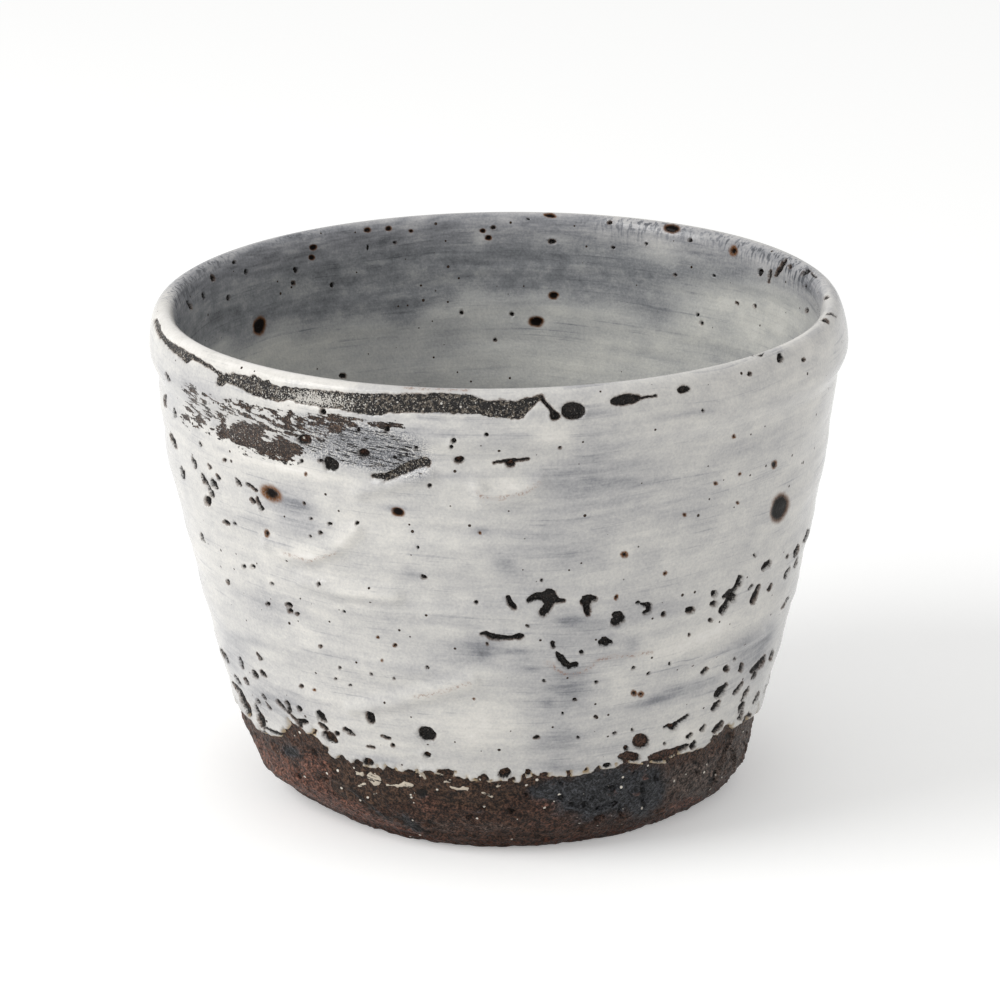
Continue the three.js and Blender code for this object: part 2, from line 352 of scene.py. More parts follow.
# crawled holes in the glaze, read off the photograph: x, y, half width, half height, tilt clockwise
glazeHoles = {
    "underLip": [
        (573.5, 411, 12, 9, 0), (626, 399.5, 15.5, 5.4, -8), (655, 395.5, 1.8, 1.6, 0),
        (684, 389.5, 6.5, 3.6, -8), (780, 357.5, 2.6, 5, 5), (803, 360, 1.5, 1.5, 0),
        (749.5, 374, 1.5, 1.9, 0), (703, 410.5, 1.6, 1.5, 0), (323, 412, 3, 3, 0), (304, 440.5, 7, 5, -8),
        (328.5, 462, 5.4, 4.6, 0), (334, 466, 4.6, 5.6, 20), (328, 467.5, 3.4, 3, 0),
        (320.5, 460.5, 2, 2, 0), (301.5, 461, 2, 2, 0), (387, 429.5, 2.8, 2.8, 0), (363, 453.5, 5.5, 4, 0),
        (416, 448.5, 2.2, 2, 0), (394.5, 458, 2, 1.6, 0), (406, 455, 1.5, 1.3, 0), (358, 430, 2, 2, 0),
        (454, 441, 2.4, 2.4, 0), (451, 447, 2.2, 2.6, 20), (459, 460, 5, 3.2, -10), (487, 434.5, 2, 2, 0),
        (430, 485, 1.8, 1.8, 0), (560.5, 448.5, 1.6, 1.5, 0), (510.5, 464.5, 4.6, 3.4, 0),
        (555, 416, 5, 4, 10),
    ],
    "left": [
        (225, 460, 1.6, 1.6, 0), (209, 500.5, 3, 4.8, -15), (304, 503.5, 1.3, 1.7, 0),
        (311, 519, 1.5, 1.3, 0), (320.5, 532, 1.9, 1.5, 20), (311, 535.5, 1.5, 1.3, 0),
        (329.5, 524.5, 2.2, 1.6, 10), (357, 523, 2, 1.4, 0), (289, 605, 3.4, 2.6, 20),
        (290, 611, 2.4, 2.2, 0), (297, 614, 2.2, 1.7, 0), (267.5, 604, 2, 2, 0), (273, 583.5, 1.7, 1.7, 0),
        (321.5, 582.5, 1.8, 1.7, 0), (253.5, 566.5, 2.2, 1.8, 10), (244.5, 566.5, 1.9, 1.7, 0),
        (228.5, 582, 1.8, 2.6, -20), (344.5, 610.5, 1.6, 1.5, 0), (423.5, 577.5, 3, 2, 20),
        (418, 547.5, 1.7, 1.4, 0), (476, 602.5, 1.8, 1.6, 0), (427, 667, 1.4, 1.3, 0),
    ],
    "middle": [
        (550, 598.5, 7.8, 8.2, 0), (618, 615.5, 5.4, 4.6, 0), (616, 622, 5, 4.6, 0),
        (621.5, 618.5, 4, 4, 0), (638, 602, 2.7, 1.7, -15), (663.5, 614, 2.6, 2.5, 0),
        (582, 652.5, 2.3, 2.2, 0), (542, 581, 1.3, 1.3, 0), (528.5, 625.5, 1.4, 1.3, 0),
        (487.5, 644, 1.3, 1.3, 0), (544, 680, 1.5, 1.4, 0), (596, 682, 1.8, 1.3, -25),
        (633, 667.5, 2.1, 1.5, -30), (648.5, 673.5, 2.2, 1.6, -40), (669, 663.5, 1.4, 1.8, 20),
        (575, 700, 2, 1.4, 0), (563, 713.5, 1.6, 1.5, 0), (595.5, 716.5, 1.6, 1.2, 0),
        (578, 737, 1.6, 1.6, 0), (536, 737, 3, 1.6, -10), (614, 733, 2.3, 1.3, -35),
        (632, 729.5, 1.3, 1.7, 20), (665, 744, 1.8, 1.1, -40),
    ],
    "right": [
        (713.5, 593, 3, 3.2, 0), (713.5, 603.5, 3.4, 3.2, 0), (690, 610, 4.8, 3.4, -10),
        (710.5, 620.5, 2, 1.9, 0), (726, 668.5, 2.8, 3.2, 20), (734.5, 659, 1, 1.9, 25),
        (786.5, 556, 1, 2.1, 20), (754.5, 555.5, 1.1, 1.7, 20), (689, 635, 1.3, 1.2, 0),
        (715, 739.5, 3, 3.6, 20),
    ],
    "low": [
        (641, 742, 8.2, 7.6, 0), (626.5, 748.5, 2.8, 2.8, 0), (607, 765.5, 4.6, 2.6, -12),
        (505, 773.5, 6.4, 4.4, -22), (528, 773, 3.2, 3.6, 0), (544, 775.5, 5, 3, 0),
        (483, 779.5, 5.6, 4.2, 0), (512, 780, 3.2, 2.6, 0), (258.5, 702, 2.2, 3.4, -15),
        (302.5, 721.5, 6, 2.8, 8), (337, 733.5, 1.7, 2.4, -30), (370.5, 717, 3.9, 7.4, -18),
        (393, 745.5, 1.8, 1.7, 0), (427, 734, 9, 7.4, 22), (427, 755, 4, 2.8, 18), (341.5, 761, 4, 5, -10),
        (357, 764.5, 4.6, 4.4, 0), (368, 762.5, 5.4, 3.6, 0), (388.5, 771.5, 5, 4, 0),
        (409, 773.5, 6, 3.2, 0), (428, 774, 6, 3.2, 0), (446, 773.5, 8, 3.8, 6), (301, 686, 2, 1.7, 20),
        (335.5, 679.5, 1.4, 1.3, 0), (340, 667.5, 1.4, 1.4, 0), (321, 646, 1.4, 1.3, 0),
        (350, 686, 1.3, 1.2, 0), (372, 674, 1.3, 1.3, 0), (394.5, 678, 1.4, 1.4, 0),
    ],
}

# slits and odd shapes as strokes: x, y, half width
holeStrokes = {
    "underLip": [
        [(494, 463.5, 1.2), (505, 461.5, 1.5), (516, 460.5, 1.5), (529, 459.5, 1)],
        [(541, 397, 2.2), (549, 407, 1.6), (555, 416, 3)], [(640, 398, 1.2), (655, 395.5, 1)],
        [(756, 354, 0.8), (760, 355, 1.5), (763, 353.5, 0.8)],
        [(821, 319, 0.8), (825, 320.5, 1.6), (828, 323, 0.8)],
        [(826, 314.5, 0.6), (831, 313.5, 0.9), (836, 317, 0.6)],
    ],
    "left": [
        [(166, 374, 1), (168, 377.5, 1.5), (170, 380.5, 1)],
        [(165, 396, 0.8), (165.5, 401, 1.1), (166, 406, 0.8)],
        [(174, 408.5, 0.9), (175, 412.5, 1.5), (176, 417, 0.9)],
        [(171, 434.5, 1), (173.5, 441, 2), (175.5, 447.5, 1.2)], [(201, 442, 0.8), (201.7, 445, 1.3)],
        [(191.7, 457.5, 1), (193.4, 462.5, 1.9), (195.2, 468, 1)], [(208, 465, 0.8), (209.6, 468, 1)],
        [(180.6, 468, 0.9), (182.7, 473, 1.6), (184.8, 478, 1)],
        [(201.7, 474.5, 1.1), (205.7, 481.4, 1.6), (209.7, 487, 1.2), (211.8, 491, 1.4), (213.4, 495.5, 2)],
        [(211.3, 480, 1.2), (214, 484, 2.2), (217.5, 488, 1.4)], [(216.3, 475, 0.9), (218.5, 479, 1.5)],
        [(235.8, 479, 0.9), (238.2, 483.5, 2), (239.8, 485.5, 1)],
        [(246.8, 484, 1.3), (251, 486.5, 1.1), (256, 490.5, 1.5)], [(251.5, 499, 1.6), (254, 502, 1.8)],
        [(257, 498, 1), (260, 505, 1.4), (262, 508.5, 2.3)], [(226, 521, 1.6), (229, 523, 1.6)],
        [(234.5, 522.5, 1.2), (236, 524.5, 1.4)], [(201.3, 533.5, 0.8), (203, 538, 1.1), (204.6, 542, 0.8)],
    ],
    "middle": [
        [(508.5, 598.5, 2.6), (511, 604, 2.6), (514.5, 607.5, 2.4)],
        [(529, 600.5, 2.4), (535, 598, 3.6), (541, 597.5, 4)],
        [(551, 601, 5), (547, 608, 4), (542.5, 613, 3.6)], [(556, 601, 3), (564, 600.5, 1.6)],
        [(583, 602, 3.2), (589, 598.5, 3.6), (595.5, 598.5, 1.8)],
        [(587, 600, 5), (586.5, 606, 4.2), (587.5, 613.5, 2.2)],
        [(642, 604, 1.8), (648.5, 605, 3), (648.5, 610, 3), (644.5, 612.5, 2.2)],
        [(601.5, 643, 2.8), (605.5, 642.5, 4.8), (611, 643, 2.4)],
        [(481, 634.5, 1.6), (486.5, 633.5, 2), (492, 637, 3.2), (500, 638, 3), (508, 638, 1.8),
         (514, 637.5, 2), (519.5, 636.5, 3), (523.5, 635.5, 1.2)],
        [(552.5, 643.5, 2.4), (553.5, 647, 1.6)],
        [(557, 653.5, 1.6), (560.5, 658, 3.4), (564.5, 663, 3.6), (569.5, 666, 3), (576, 664.5, 3)],
    ],
    "right": [
        [(807, 530, 1), (805, 536, 1.6), (803, 541, 1)], [(797, 545, 1), (795, 551, 2.1), (793, 556.5, 1)],
        [(797, 558, 0.9), (795.5, 563, 1.6), (794.5, 567, 0.9)],
        [(789, 567, 1), (787, 572, 1.9), (785, 578, 1)],
        [(768.5, 561.5, 2), (766, 564.5, 3), (762, 569, 1.6)], [(751.5, 585, 1), (749, 589, 1.4)],
        [(759, 586, 1.6), (756.5, 593, 2.4), (753, 602, 2.6)], [(772.5, 584.5, 1), (769, 590.5, 1)],
        [(739.5, 577, 2.4), (738, 581.5, 3.2), (734, 588.5, 2), (729, 596, 2.8), (727, 603.5, 3),
         (722, 612, 2.4)],
        [(723.5, 596.5, 1.8), (729, 592, 2.6)], [(733, 596, 3), (732.5, 599.5, 3.2)],
        [(788, 597, 0.7), (784, 603, 1.2), (781, 608, 0.7)], [(706.5, 668.5, 1.6), (703, 672.5, 2.2)],
        [(741.5, 665, 1.8), (740, 670, 2.2)], [(765, 656, 1.2), (759, 664.5, 2.6), (751.5, 672, 1.6)],
        [(772.5, 651, 0.9), (769.5, 659, 1.2)], [(755, 672.5, 1), (751.5, 678.5, 1.4)],
        [(726, 684, 1.4), (721.5, 689, 3.4), (716.5, 695, 3)],
        [(719, 700, 1), (715.5, 705, 3), (713.5, 709, 2.4)],
        [(742, 682, 0.8), (738, 687, 1.4), (735, 691, 2.4), (733, 693.5, 1.4)],
        [(748.5, 687.5, 1), (745, 694.5, 2), (742, 701, 1)],
        [(758.5, 692.5, 1), (756.5, 698, 1.6), (754, 703.5, 1)], [(767.5, 686, 0.8), (765, 691.5, 1.2)],
        [(744, 703, 1.2), (741.5, 708, 2.2), (739.5, 712, 1.4)], [(743, 712, 1.1), (739.5, 718.5, 1.6)],
        [(749.5, 713.5, 1.2), (746, 718.5, 2), (743.5, 722, 1.4)],
        [(722.5, 722, 1.2), (718, 727.5, 2.8), (714, 731.5, 1.6)], [(705.5, 726, 1.2), (702.5, 730, 2.2)],
        [(691.5, 734.5, 1.3), (688.5, 737.5, 1.9)], [(694.5, 742.5, 1.6), (692.5, 747, 2.6)],
    ],
    "lowRight": [
        [(664.5, 727.5, 1.6), (668.5, 725.5, 2.2), (673, 727, 3.8), (677.5, 722.5, 1.8), (682, 719, 2.2),
         (687, 716, 1.8)],
        [(621, 758, 3), (628, 757, 5.4), (636, 758.5, 4.6)],
        [(652, 759, 3.4), (660, 757.5, 5.6), (670, 754.5, 5), (680, 749.5, 3), (688, 745, 1)],
    ],
    "lowLeft": [
        [(221.5, 650, 1), (226, 656, 1.6), (229.5, 662, 0.9)],
        [(239.5, 657.5, 0.9), (242, 662.5, 1.7), (244, 667.5, 1)],
        [(256.5, 654, 0.9), (258.5, 657, 1), (260.5, 659.5, 1.3)],
        [(254, 670, 1.1), (256.5, 674.5, 2.2), (258.5, 677.5, 1.1)],
        [(261.5, 670.5, 0.9), (264, 674, 1.6), (266, 676.5, 0.9)],
        [(236, 675.5, 0.9), (238.5, 680, 1.8), (241, 684.5, 1)],
        [(246, 678, 1), (248, 681, 1.6), (249.5, 684, 1)],
        [(233, 683, 1), (239, 690, 1.8), (243, 698, 2.2), (246.5, 706.5, 3.2), (250, 714.5, 2)],
        [(255, 705, 1), (258, 712, 2), (261, 719, 2.6), (264, 725, 1.6)], [(265, 731, 1), (268.5, 737, 2)],
        [(266, 728, 1), (274, 732, 1.4), (283, 736, 1.6)], [(263.5, 694.5, 1), (266.5, 698, 1.2)],
        [(267.5, 703.5, 0.9), (270, 709, 1.2)],
        [(278.5, 700.5, 1.6), (282.5, 705.5, 1.6), (286.5, 710.5, 0.9), (293.5, 717, 1.1), (296, 719, 0.8)],
        [(287.5, 701, 1.6), (290, 705.5, 1.8), (290.5, 710, 2)],
        [(298.5, 706, 1.2), (301, 709, 2), (302, 711, 1)], [(299, 723.5, 1.6), (301.5, 726, 1.2)],
        [(319, 712.5, 2.2), (322, 716, 3.4), (326.5, 720.5, 1.2)],
        [(320, 723.5, 1.6), (324, 726, 2.4), (327, 729, 1.4)],
        [(325.5, 734.5, 3), (330, 737.5, 5), (333.5, 741, 4)],
        [(346, 729.5, 2.6), (350, 732, 2.4), (354, 734.5, 0.9)],
        [(382, 735.5, 0.9), (387, 737.5, 1.2), (390.5, 738.5, 0.8)], [(367, 746, 0.8), (373.5, 748, 0.9)],
    ],
}

# iron that bled into the glaze: x, y, half width, half height, tilt and how much of it is the dark core
ironSpots = [
    (271, 493.5, 12, 7.4, 32, 0.6), (779, 508, 8.6, 15.5, 18, 0.86), (398, 512, 7, 4.6, 15, 0.8),
    (773.5, 464.5, 3.2, 4.8, 12, 0.7), (624, 554, 4, 4, 0, 0.5), (715.5, 483, 2.4, 2.2, 0, 0.6),
    (685, 515, 2.2, 2.2, 0, 0.6), (666, 574, 2.8, 2.2, -30, 0.5), (480, 533, 2, 2, 0, 0.6),
    (734.5, 437, 2, 2.2, 0, 0.5), (306, 473.5, 1.8, 2.4, 0, 0.5), (314.5, 690, 2.2, 1.7, 20, 0.5),
    (634.5, 693.5, 3.2, 3.4, 0, 0.55), (641, 694.5, 3.8, 3, -30, 0.5), (616, 597, 2.4, 3.2, 30, 0.6),
    (394.5, 645.5, 2.4, 2.2, 0, 0.75), (378, 637.5, 1.8, 1.8, 0, 0.6), (267, 533, 2.8, 4.4, -20, 0.6),
    (474, 699, 1.6, 1.4, 0, 0.5), (739, 474, 1.7, 1.9, 0, 0.6), (738, 503, 1.6, 1.8, 0, 0.6),
    (382, 660, 1.5, 1.5, 0, 0.5),
]

# clay left bare by the brush, ragged at its edges
bareStrokes = [
    [(155, 320, 1.6), (160, 334, 2.2), (167, 343, 2.8), (178, 351, 4), (186, 357, 5.2), (190, 356, 2.2),
     (203, 363, 1.6), (216, 371, 2), (222, 377, 2)],
    [(220, 381.5, 4.6), (226, 378, 5), (236, 380, 6.5), (246, 383, 8), (256, 387, 9.5), (266, 390, 9),
     (277, 394, 7.5), (284, 396, 5)],
    [(253, 377.5, 3), (254, 379, 3)], [(267, 382.5, 3.4), (268, 384, 3)],
    [(284, 392, 6), (296, 395, 7.5), (310, 397, 8.5), (325, 399, 8.5), (336, 400, 9)],
    [(374, 475.5, 2), (387, 477, 3.6), (398, 471.5, 4.4), (411, 466, 5.4), (425, 462.5, 4.6),
     (429, 465, 2)],
    [(338, 400, 8), (350, 402, 10), (362, 404, 11), (376, 404.5, 11), (390, 403, 9.5), (410, 403, 9.5),
     (440, 402.5, 10), (470, 404, 10), (484, 408, 7), (500, 409, 9.5), (518, 410, 9), (527, 404, 6),
     (538, 398, 3.5)],
]
brushSkips = [
    [(184.5, 385, 0.9), (188, 389, 2), (192.5, 394.5, 2.4), (194.5, 398.5, 2.6), (191, 403.5, 3),
     (187.5, 409, 2), (190, 413, 1.6)],
    [(199.5, 399.5, 1.2), (202.5, 403, 2)], [(185, 418.5, 3.2), (187.5, 422, 1.8)],
    [(197.5, 419.5, 4.6), (197.5, 426, 3.6)], [(203, 414.5, 1.6), (208.5, 415.5, 1.6), (208, 420, 1.6)],
    [(212, 429.5, 2), (216, 427.5, 1.6)],
    [(215.5, 413.5, 2.6), (220, 418, 3), (221.5, 425, 2.6), (221, 431, 2.6)],
    [(203.5, 394.5, 0.8), (212, 400.5, 0.9), (218, 402.5, 1)],
    [(223.5, 402, 2.6), (230.5, 401.5, 1.7), (237, 404.5, 2.4), (245.5, 407, 4.4), (247.5, 412.5, 3),
     (251, 420.5, 3)],
    [(253.5, 408, 1), (265, 410, 1.2), (275, 411.5, 1.2), (283, 414, 1)],
    [(271.5, 413.5, 3.6), (277.5, 419, 2.6)], [(260, 416, 2.6), (266, 420.5, 3), (270.5, 423.5, 2.4)],
    [(228, 415, 1.4), (236, 421, 1.6), (246, 424, 1.6)], [(222, 433, 4.4), (228, 434, 7), (236, 432, 9)],
    [(232, 427, 4), (240, 428, 5), (252, 431, 4.6), (262, 431.5, 3.4)],
    [(240, 438, 8), (252, 440, 9), (258, 446, 6)], [(246, 446, 5), (255, 449.5, 4)],
    [(268, 441, 3), (276, 440, 4.4), (286, 441.5, 3.4)],
    [(262, 447, 7), (275, 449, 9), (290, 451, 8.6), (298, 453, 5.4)],
    [(272, 455, 4), (285, 457, 4), (296, 457, 4)],
    [(290, 409.5, 2), (289, 414, 3), (286, 419.5, 3), (287, 426.5, 3.4), (291, 432.5, 3.4),
     (297, 435.5, 2.4)],
    [(298, 420.5, 4), (300.5, 426.5, 5.6)],
    [(299, 419.5, 3.4), (307, 419.5, 4), (314, 419.5, 4.6), (322, 419, 3.6), (334, 420, 4.4),
     (343, 423.5, 4.6), (357, 422, 3), (370, 424.5, 2.2), (388, 426, 1.3), (402, 425, 1)],
    [(340, 426.5, 4), (326, 432, 3.4), (314, 436, 2.2)],
]

hatchedSkips = [  # half covered: streaks of slip and clay side by side
    [(226, 412, 5), (246, 420, 8), (262, 427, 8), (280, 434, 8)], [(256, 410, 3), (282, 418, 4)],
    [(300, 430, 9), (318, 432, 9)], [(190, 412, 7), (204, 416, 7)],
]
saltZones = [  # white grains on the bare clay, strongest where they stand in for a painted glare highlight: x, y, half width, half height, tilt, strength
    (256, 388, 36, 11, 10, 0.12), (312, 399, 27, 8, 6, 0.8), (352, 402, 18, 10, 0, 0.25),
    (371, 448, 60, 20, 12, 0.15),
]

# zones of thin, streaky slip (and of thick slip, below zero): x, y, half width, half height, tilt, strength
slipZones = [
    (372, 447, 52, 22, 12, 0.75), (318, 440, 40, 18, 12, 0.3), (285, 501, 34, 11, 17, 0.75),
    (306, 530, 26, 9, 12, 0.4), (505, 565, 12, 8, 0, 0.55), (412, 577, 16, 5, 4, 0.5),
    (481, 532, 9, 5, 0, 0.45), (392, 508, 16, 4, 4, 0.5), (268, 606, 32, 12, 16, 0.45),
    (330, 586, 22, 4, 12, 0.3), (484, 647, 20, 11, 0, 0.55), (440, 660, 34, 18, 0, 0.22),
    (566, 688, 20, 18, 0, 0.6), (557, 742, 26, 16, 0, 0.6), (585, 626, 46, 20, -6, 0.38),
    (668, 608, 34, 9, -10, 0.45), (680, 692, 38, 8, -14, 0.5), (748, 658, 18, 24, 30, 0.6),
    (556, 545, 56, 28, 0, 0.22), (596, 470, 44, 26, -4, 0.46), (682, 506, 44, 26, -12, 0.26),
    (735, 450, 40, 10, -16, 0.2), (460, 474, 18, 6, 0, 0.35), (272, 700, 34, 16, 24, 0.6),
    (382, 761, 30, 6, 10, 0.5), (565, 767, 30, 6, 0, 0.45), (232, 655, 18, 26, -16, 0.5),
    (596, 414, 36, 5, -4, 0.4), (688, 414, 60, 3, -8, 0.3), (250, 640, 50, 5, 16, 0.3),
    (420, 620, 60, 5, 4, 0.25), (340, 655, 50, 5, 10, 0.2), (306, 553, 34, 5, 0, -0.6),
    (350, 537, 14, 6, -30, -0.5), (352, 590, 44, 4, 9, -0.5), (510, 484, 28, 9, 0, -0.45),
    (305, 404, 24, 9, 8, -0.3), (552, 435, 20, 9, 0, -0.5), (440, 450, 30, 8, -6, -0.4),
    (700, 638, 60, 8, -24, -0.5), (487, 722, 50, 20, 0, -0.4), (448, 688, 46, 6, -14, -0.4),
    (622, 690, 14, 14, 0, -0.3), (685, 732, 22, 14, -20, -0.35), (295, 468, 56, 7, 10, -0.5),
    (625, 550, 10, 8, 0, -0.3), (200, 560, 30, 20, 16, -0.25), (420, 535, 60, 16, 4, -0.15),
    (569, 622, 14, 3, -4, 0.7), (633, 644, 7, 6, 0, 0.45), (664, 634, 16, 2, -10, 0.5),
    (515, 651, 20, 2.5, 0, 0.5), (523, 661, 18, 2, -4, 0.4), (531, 669, 10, 2, -4, 0.4),
    (548, 702, 6, 4, -30, 0.5), (654, 701, 24, 4, -16, 0.4), (483, 655, 8, 8, 0, 0.5),
    (766, 640, 9, 20, 28, 0.7), (740, 640, 28, 2.5, -24, 0.4), (716, 652, 36, 2.5, -22, 0.4),
    (545, 545, 120, 130, 0, 0.16), (540, 705, 110, 60, 0, 0.16), (195, 392, 44, 26, 10, 0.3),
    (223.5, 449, 7, 1.4, 18, 0.6), (302, 506, 16, 3, 16, 0.5), (252, 521, 24, 3, 16, 0.4),
    (640, 480, 30, 5, -8, 0.3), (430, 431, 28, 1.6, 10, 0.6), (590, 500, 60, 30, 0, 0.14),
]
hairZone = {"x": 362, "y": 446, "halfWide": 70, "halfHigh": 24, "slope": 0.2}

# ridges that the thick slip stands up in, and rusty seams along them: x, y, half width
slipRidges = [
    [(268, 543, 3), (288, 552, 4), (308, 556, 5), (334, 547, 5), (356, 530, 3)],
    [(304, 579, 3), (340, 590, 4), (395, 596, 3)],
    [(352, 708, 2), (400, 700, 4), (440, 688, 4), (472, 680, 3)],
    [(478, 486, 3), (484, 497, 4), (510, 497, 4), (540, 482, 3)],
    [(360, 491, 2), (392, 483, 3), (430, 474, 2)], [(688, 660, 2), (739, 642, 2.5), (759, 631, 2)],
]
rustySeams = [
    [(477, 488, 0.7), (482, 495, 0.9), (497, 497, 1.0), (522, 492, 0.9), (539, 481, 0.6)],
    [(416, 695, 0.6), (440, 690, 1.0), (470, 681, 0.6)],
    [(547.5, 664.5, 0.7), (553, 665, 0.7), (556.5, 669.5, 0.9), (561.5, 672.5, 1), (569, 674, 1),
     (582, 672, 0.9), (588.5, 668, 0.7), (595, 662, 0.7), (599, 659.5, 0.7), (614, 656.5, 0.8),
     (633, 655, 0.7), (651, 651.5, 0.5)],
    [(404, 388, 0.7), (440, 389, 0.8), (470, 390, 0.5)],
    [(286, 551, 0.6), (310, 560, 0.6), (338, 551, 0.5)],
]

# inside, below the far lip: thin grey band and smudges
innerZones = [
    (369, 274, 30, 8, -3, 0.8), (250, 312, 60, 5, -8, 0.6), (450, 259, 60, 6, -2, 0.5),
    (300, 258, 60, 18, -10, 0.5), (520, 287, 40, 4, 0, 0.3), (600, 305, 90, 22, 0, -0.15),
    (735, 308, 60, 28, 18, -1.0), (790, 320, 30, 30, 0, -0.7), (430, 330, 90, 20, 0, 0.1),
    (290, 340, 50, 10, 0, -0.1), (640, 350, 70, 16, -6, -0.2), (755, 262, 46, 14, 25, -0.35),
    (557, 262, 6, 10, 0, 0.5), (480, 240, 7, 8, 0, -0.4), (660, 248, 26, 13, 10, -0.7),
]
innerBand = {
    "depth": 10.0, "fade": 5.0, "strength": 0.7, "nearFrom": 1.5, "farFrom": -0.8, "full": 1.6,
    "overall": 0.16,  # how much thinner the whole inside is
}
dripZones = [  # short streaks that run down from the lip
    (645, 224, 46, 12, 4, 0.8), (795, 268, 26, 14, 28, 1.0), (168, 296, 18, 30, 20, 1.0),
    (205, 258, 34, 12, -28, 0.9), (300, 228, 60, 10, -12, 0.5), (740, 245, 40, 10, 22, 0.6),
]

# lower edge of the outer coat as the photograph shows it: x, y from left to right
glazeEdge = [
    (232, 690), (242, 712), (251, 722), (257, 731), (270, 737), (279, 738), (284, 732), (289, 726),
    (295, 726.5), (305, 735), (311, 736), (317.5, 741), (320, 747), (327, 749), (328, 756), (335, 762),
    (347, 764.5), (362, 767), (379, 771), (399, 773), (431, 775.5), (454, 777), (470, 782.5), (491, 783.5),
    (510, 782), (519, 785), (524, 780), (535, 777.5), (554, 778), (566, 778.5), (579, 777), (589, 775),
    (600, 771), (616, 769.5), (624, 764.5), (635, 764.5), (644, 766.5), (651, 764.5), (665, 764.5),
    (669, 762), (676, 757), (688, 754), (706, 748.5), (711, 743), (718.5, 736), (730, 725.5), (735, 730),
    (744.5, 723.5), (755, 716.5), (760, 704),
]
slipDribbles = [
    [(355.5, 775.5, 2.6), (359, 776, 2.4)], [(369, 780, 4), (374, 783, 4.6)],
    [(343.5, 786.5, 1.8), (345, 787, 1.4)], [(356, 788, 1), (362, 787, 2)],
    [(386, 787.5, 1.2), (397, 788.5, 1.4), (404, 786, 3), (409, 787.5, 3)],
    [(417, 771, 1), (420, 776, 1.6), (423.5, 780, 1.6)],
    [(432, 776.5, 1), (446, 776.5, 1), (461, 778, 1.1)], [(444, 784, 1.4), (450, 783, 2)],
    [(450, 789.5, 1), (458, 791.5, 1.9), (467, 791.5, 2)], [(482, 795.5, 1), (491, 799, 1.1)],
    [(497.5, 789, 1.6), (499.5, 787, 1.8)], [(371, 796, 1), (374, 795.5, 1)],
]
glazeLine = {"height": 12.2, "wave": 0.6, "bite": 2.0, "biteSize": 0.95}

# marks inside, on the far wall and lip
innerHoles = [
    (295.5, 270, 2.2, 2.4, 0), (293, 283, 1.9, 1.9, 0), (332, 285, 2, 2.2, 0), (394.5, 242.5, 1.6, 1.4, 0),
    (367.5, 247.5, 1.2, 3, 0), (493, 228, 2.2, 1.8, 0), (552, 241.5, 3.6, 2.6, 0), (511.5, 314, 2.4, 2, 0),
    (461.5, 312.5, 2, 1.7, 0), (212.5, 278, 2, 3.6, -25), (203.5, 296, 1.8, 4, -15),
    (189, 305, 1.5, 5, -30), (228, 298, 1.8, 2.8, 0), (246, 272, 1.8, 2.8, 0), (234, 262.5, 1.8, 2, 0),
    (760.5, 272.5, 2.4, 3.8, 10), (770, 273.5, 1.4, 3.4, 15), (790, 267, 1.8, 1.8, 0),
    (609.5, 222.5, 2.6, 1.6, 0), (528, 219, 2, 1.2, 0), (690, 240, 1.9, 1.9, 0), (646, 244.5, 1.6, 1.5, 0),
    (613, 248, 1.6, 1.4, 0), (675, 275, 1.7, 1.5, 0), (714, 275.5, 1.6, 1.5, 0), (698, 315, 1.8, 1.6, 0),
    (702, 323, 1.8, 1.6, 0), (737, 303, 1.5, 1.4, 0), (755, 306, 1.5, 1.5, 0), (807.5, 310.5, 1.6, 2.2, 0),
    (806, 286, 1.4, 1.4, 0), (495, 340, 1.7, 1.5, 0), (342.5, 376, 3.4, 2.2, 0),
    (826.5, 297.5, 2.6, 1, -20),
]
innerDrips = [
    [(786, 260, 1.3), (782, 266, 2), (776, 276, 1.3)], [(803, 275, 1.5), (808, 270.5, 2)],
    [(812, 274, 0.9), (816, 277, 0.9)], [(771, 275, 0.9), (769, 282, 0.7)],
]
innerIron = [
    (259.5, 326, 6.8, 9.8, 10, 0.82), (536, 321.5, 8.2, 5.8, 0, 0.84), (553.5, 295.5, 5.4, 4.2, 0, 0.82),
    (733.5, 251, 4.6, 5.6, 0, 0.6), (313.5, 247.5, 3.8, 3.4, 0, 0.86), (311.5, 257.5, 3.4, 3, 0, 0.86),
    (367.5, 230, 3.4, 2.6, 0, 0.84), (388.5, 228.5, 3.4, 2.8, 0, 0.84), (411, 231, 2.4, 2, 0, 0.84),
    (488.5, 238, 3.6, 3, 0, 0.84), (482.5, 231, 3.4, 2.2, 0, 0.84), (671.5, 228.5, 8.6, 4.8, 5, 0.86),
    (550, 215.5, 7, 2.6, 8, 0.8),
]

# the side that the photograph doesn't show gets marks of the same kinds, from a fixed seed
hiddenSide = {"seed": 11, "holes": 100, "spots": 22, "from": 84.0, "innerHoles": 60}


def hiddenMarks():
    draw = random.Random(hiddenSide["seed"])
    holes = []
    for i in range(hiddenSide["holes"]):
        angle = draw.uniform(hiddenSide["from"], 360 - hiddenSide["from"])
        height = 13 + 46 * draw.random() ** (2.2 if i % 3 else 0.9)
        size = 0.18 + 0.75 * draw.random() ** 2.5
        holes.append((angle, height, size, size * draw.uniform(0.6, 1.5), draw.uniform(-35, 35)))
    spots = []
    for i in range(hiddenSide["spots"]):
        angle = draw.uniform(hiddenSide["from"], 360 - hiddenSide["from"])
        size = 0.22 + 0.9 * draw.random() ** 4
        height = draw.uniform(16, 60)
        halfHigh = size * draw.uniform(0.8, 1.4)
        tilt = draw.uniform(-30, 30)
        spots.append((angle, height, size, halfHigh, tilt, draw.uniform(0.5, 0.8)))
    inner = []
    for i in range(hiddenSide["innerHoles"]):
        size = 0.15 + 0.5 * draw.random() ** 3
        angle = draw.uniform(-180, 180)
        height = draw.uniform(9, 62)
        inner.append((angle, height, size, size * draw.uniform(0.8, 1.3), 0.0))
    return holes, spots, inner


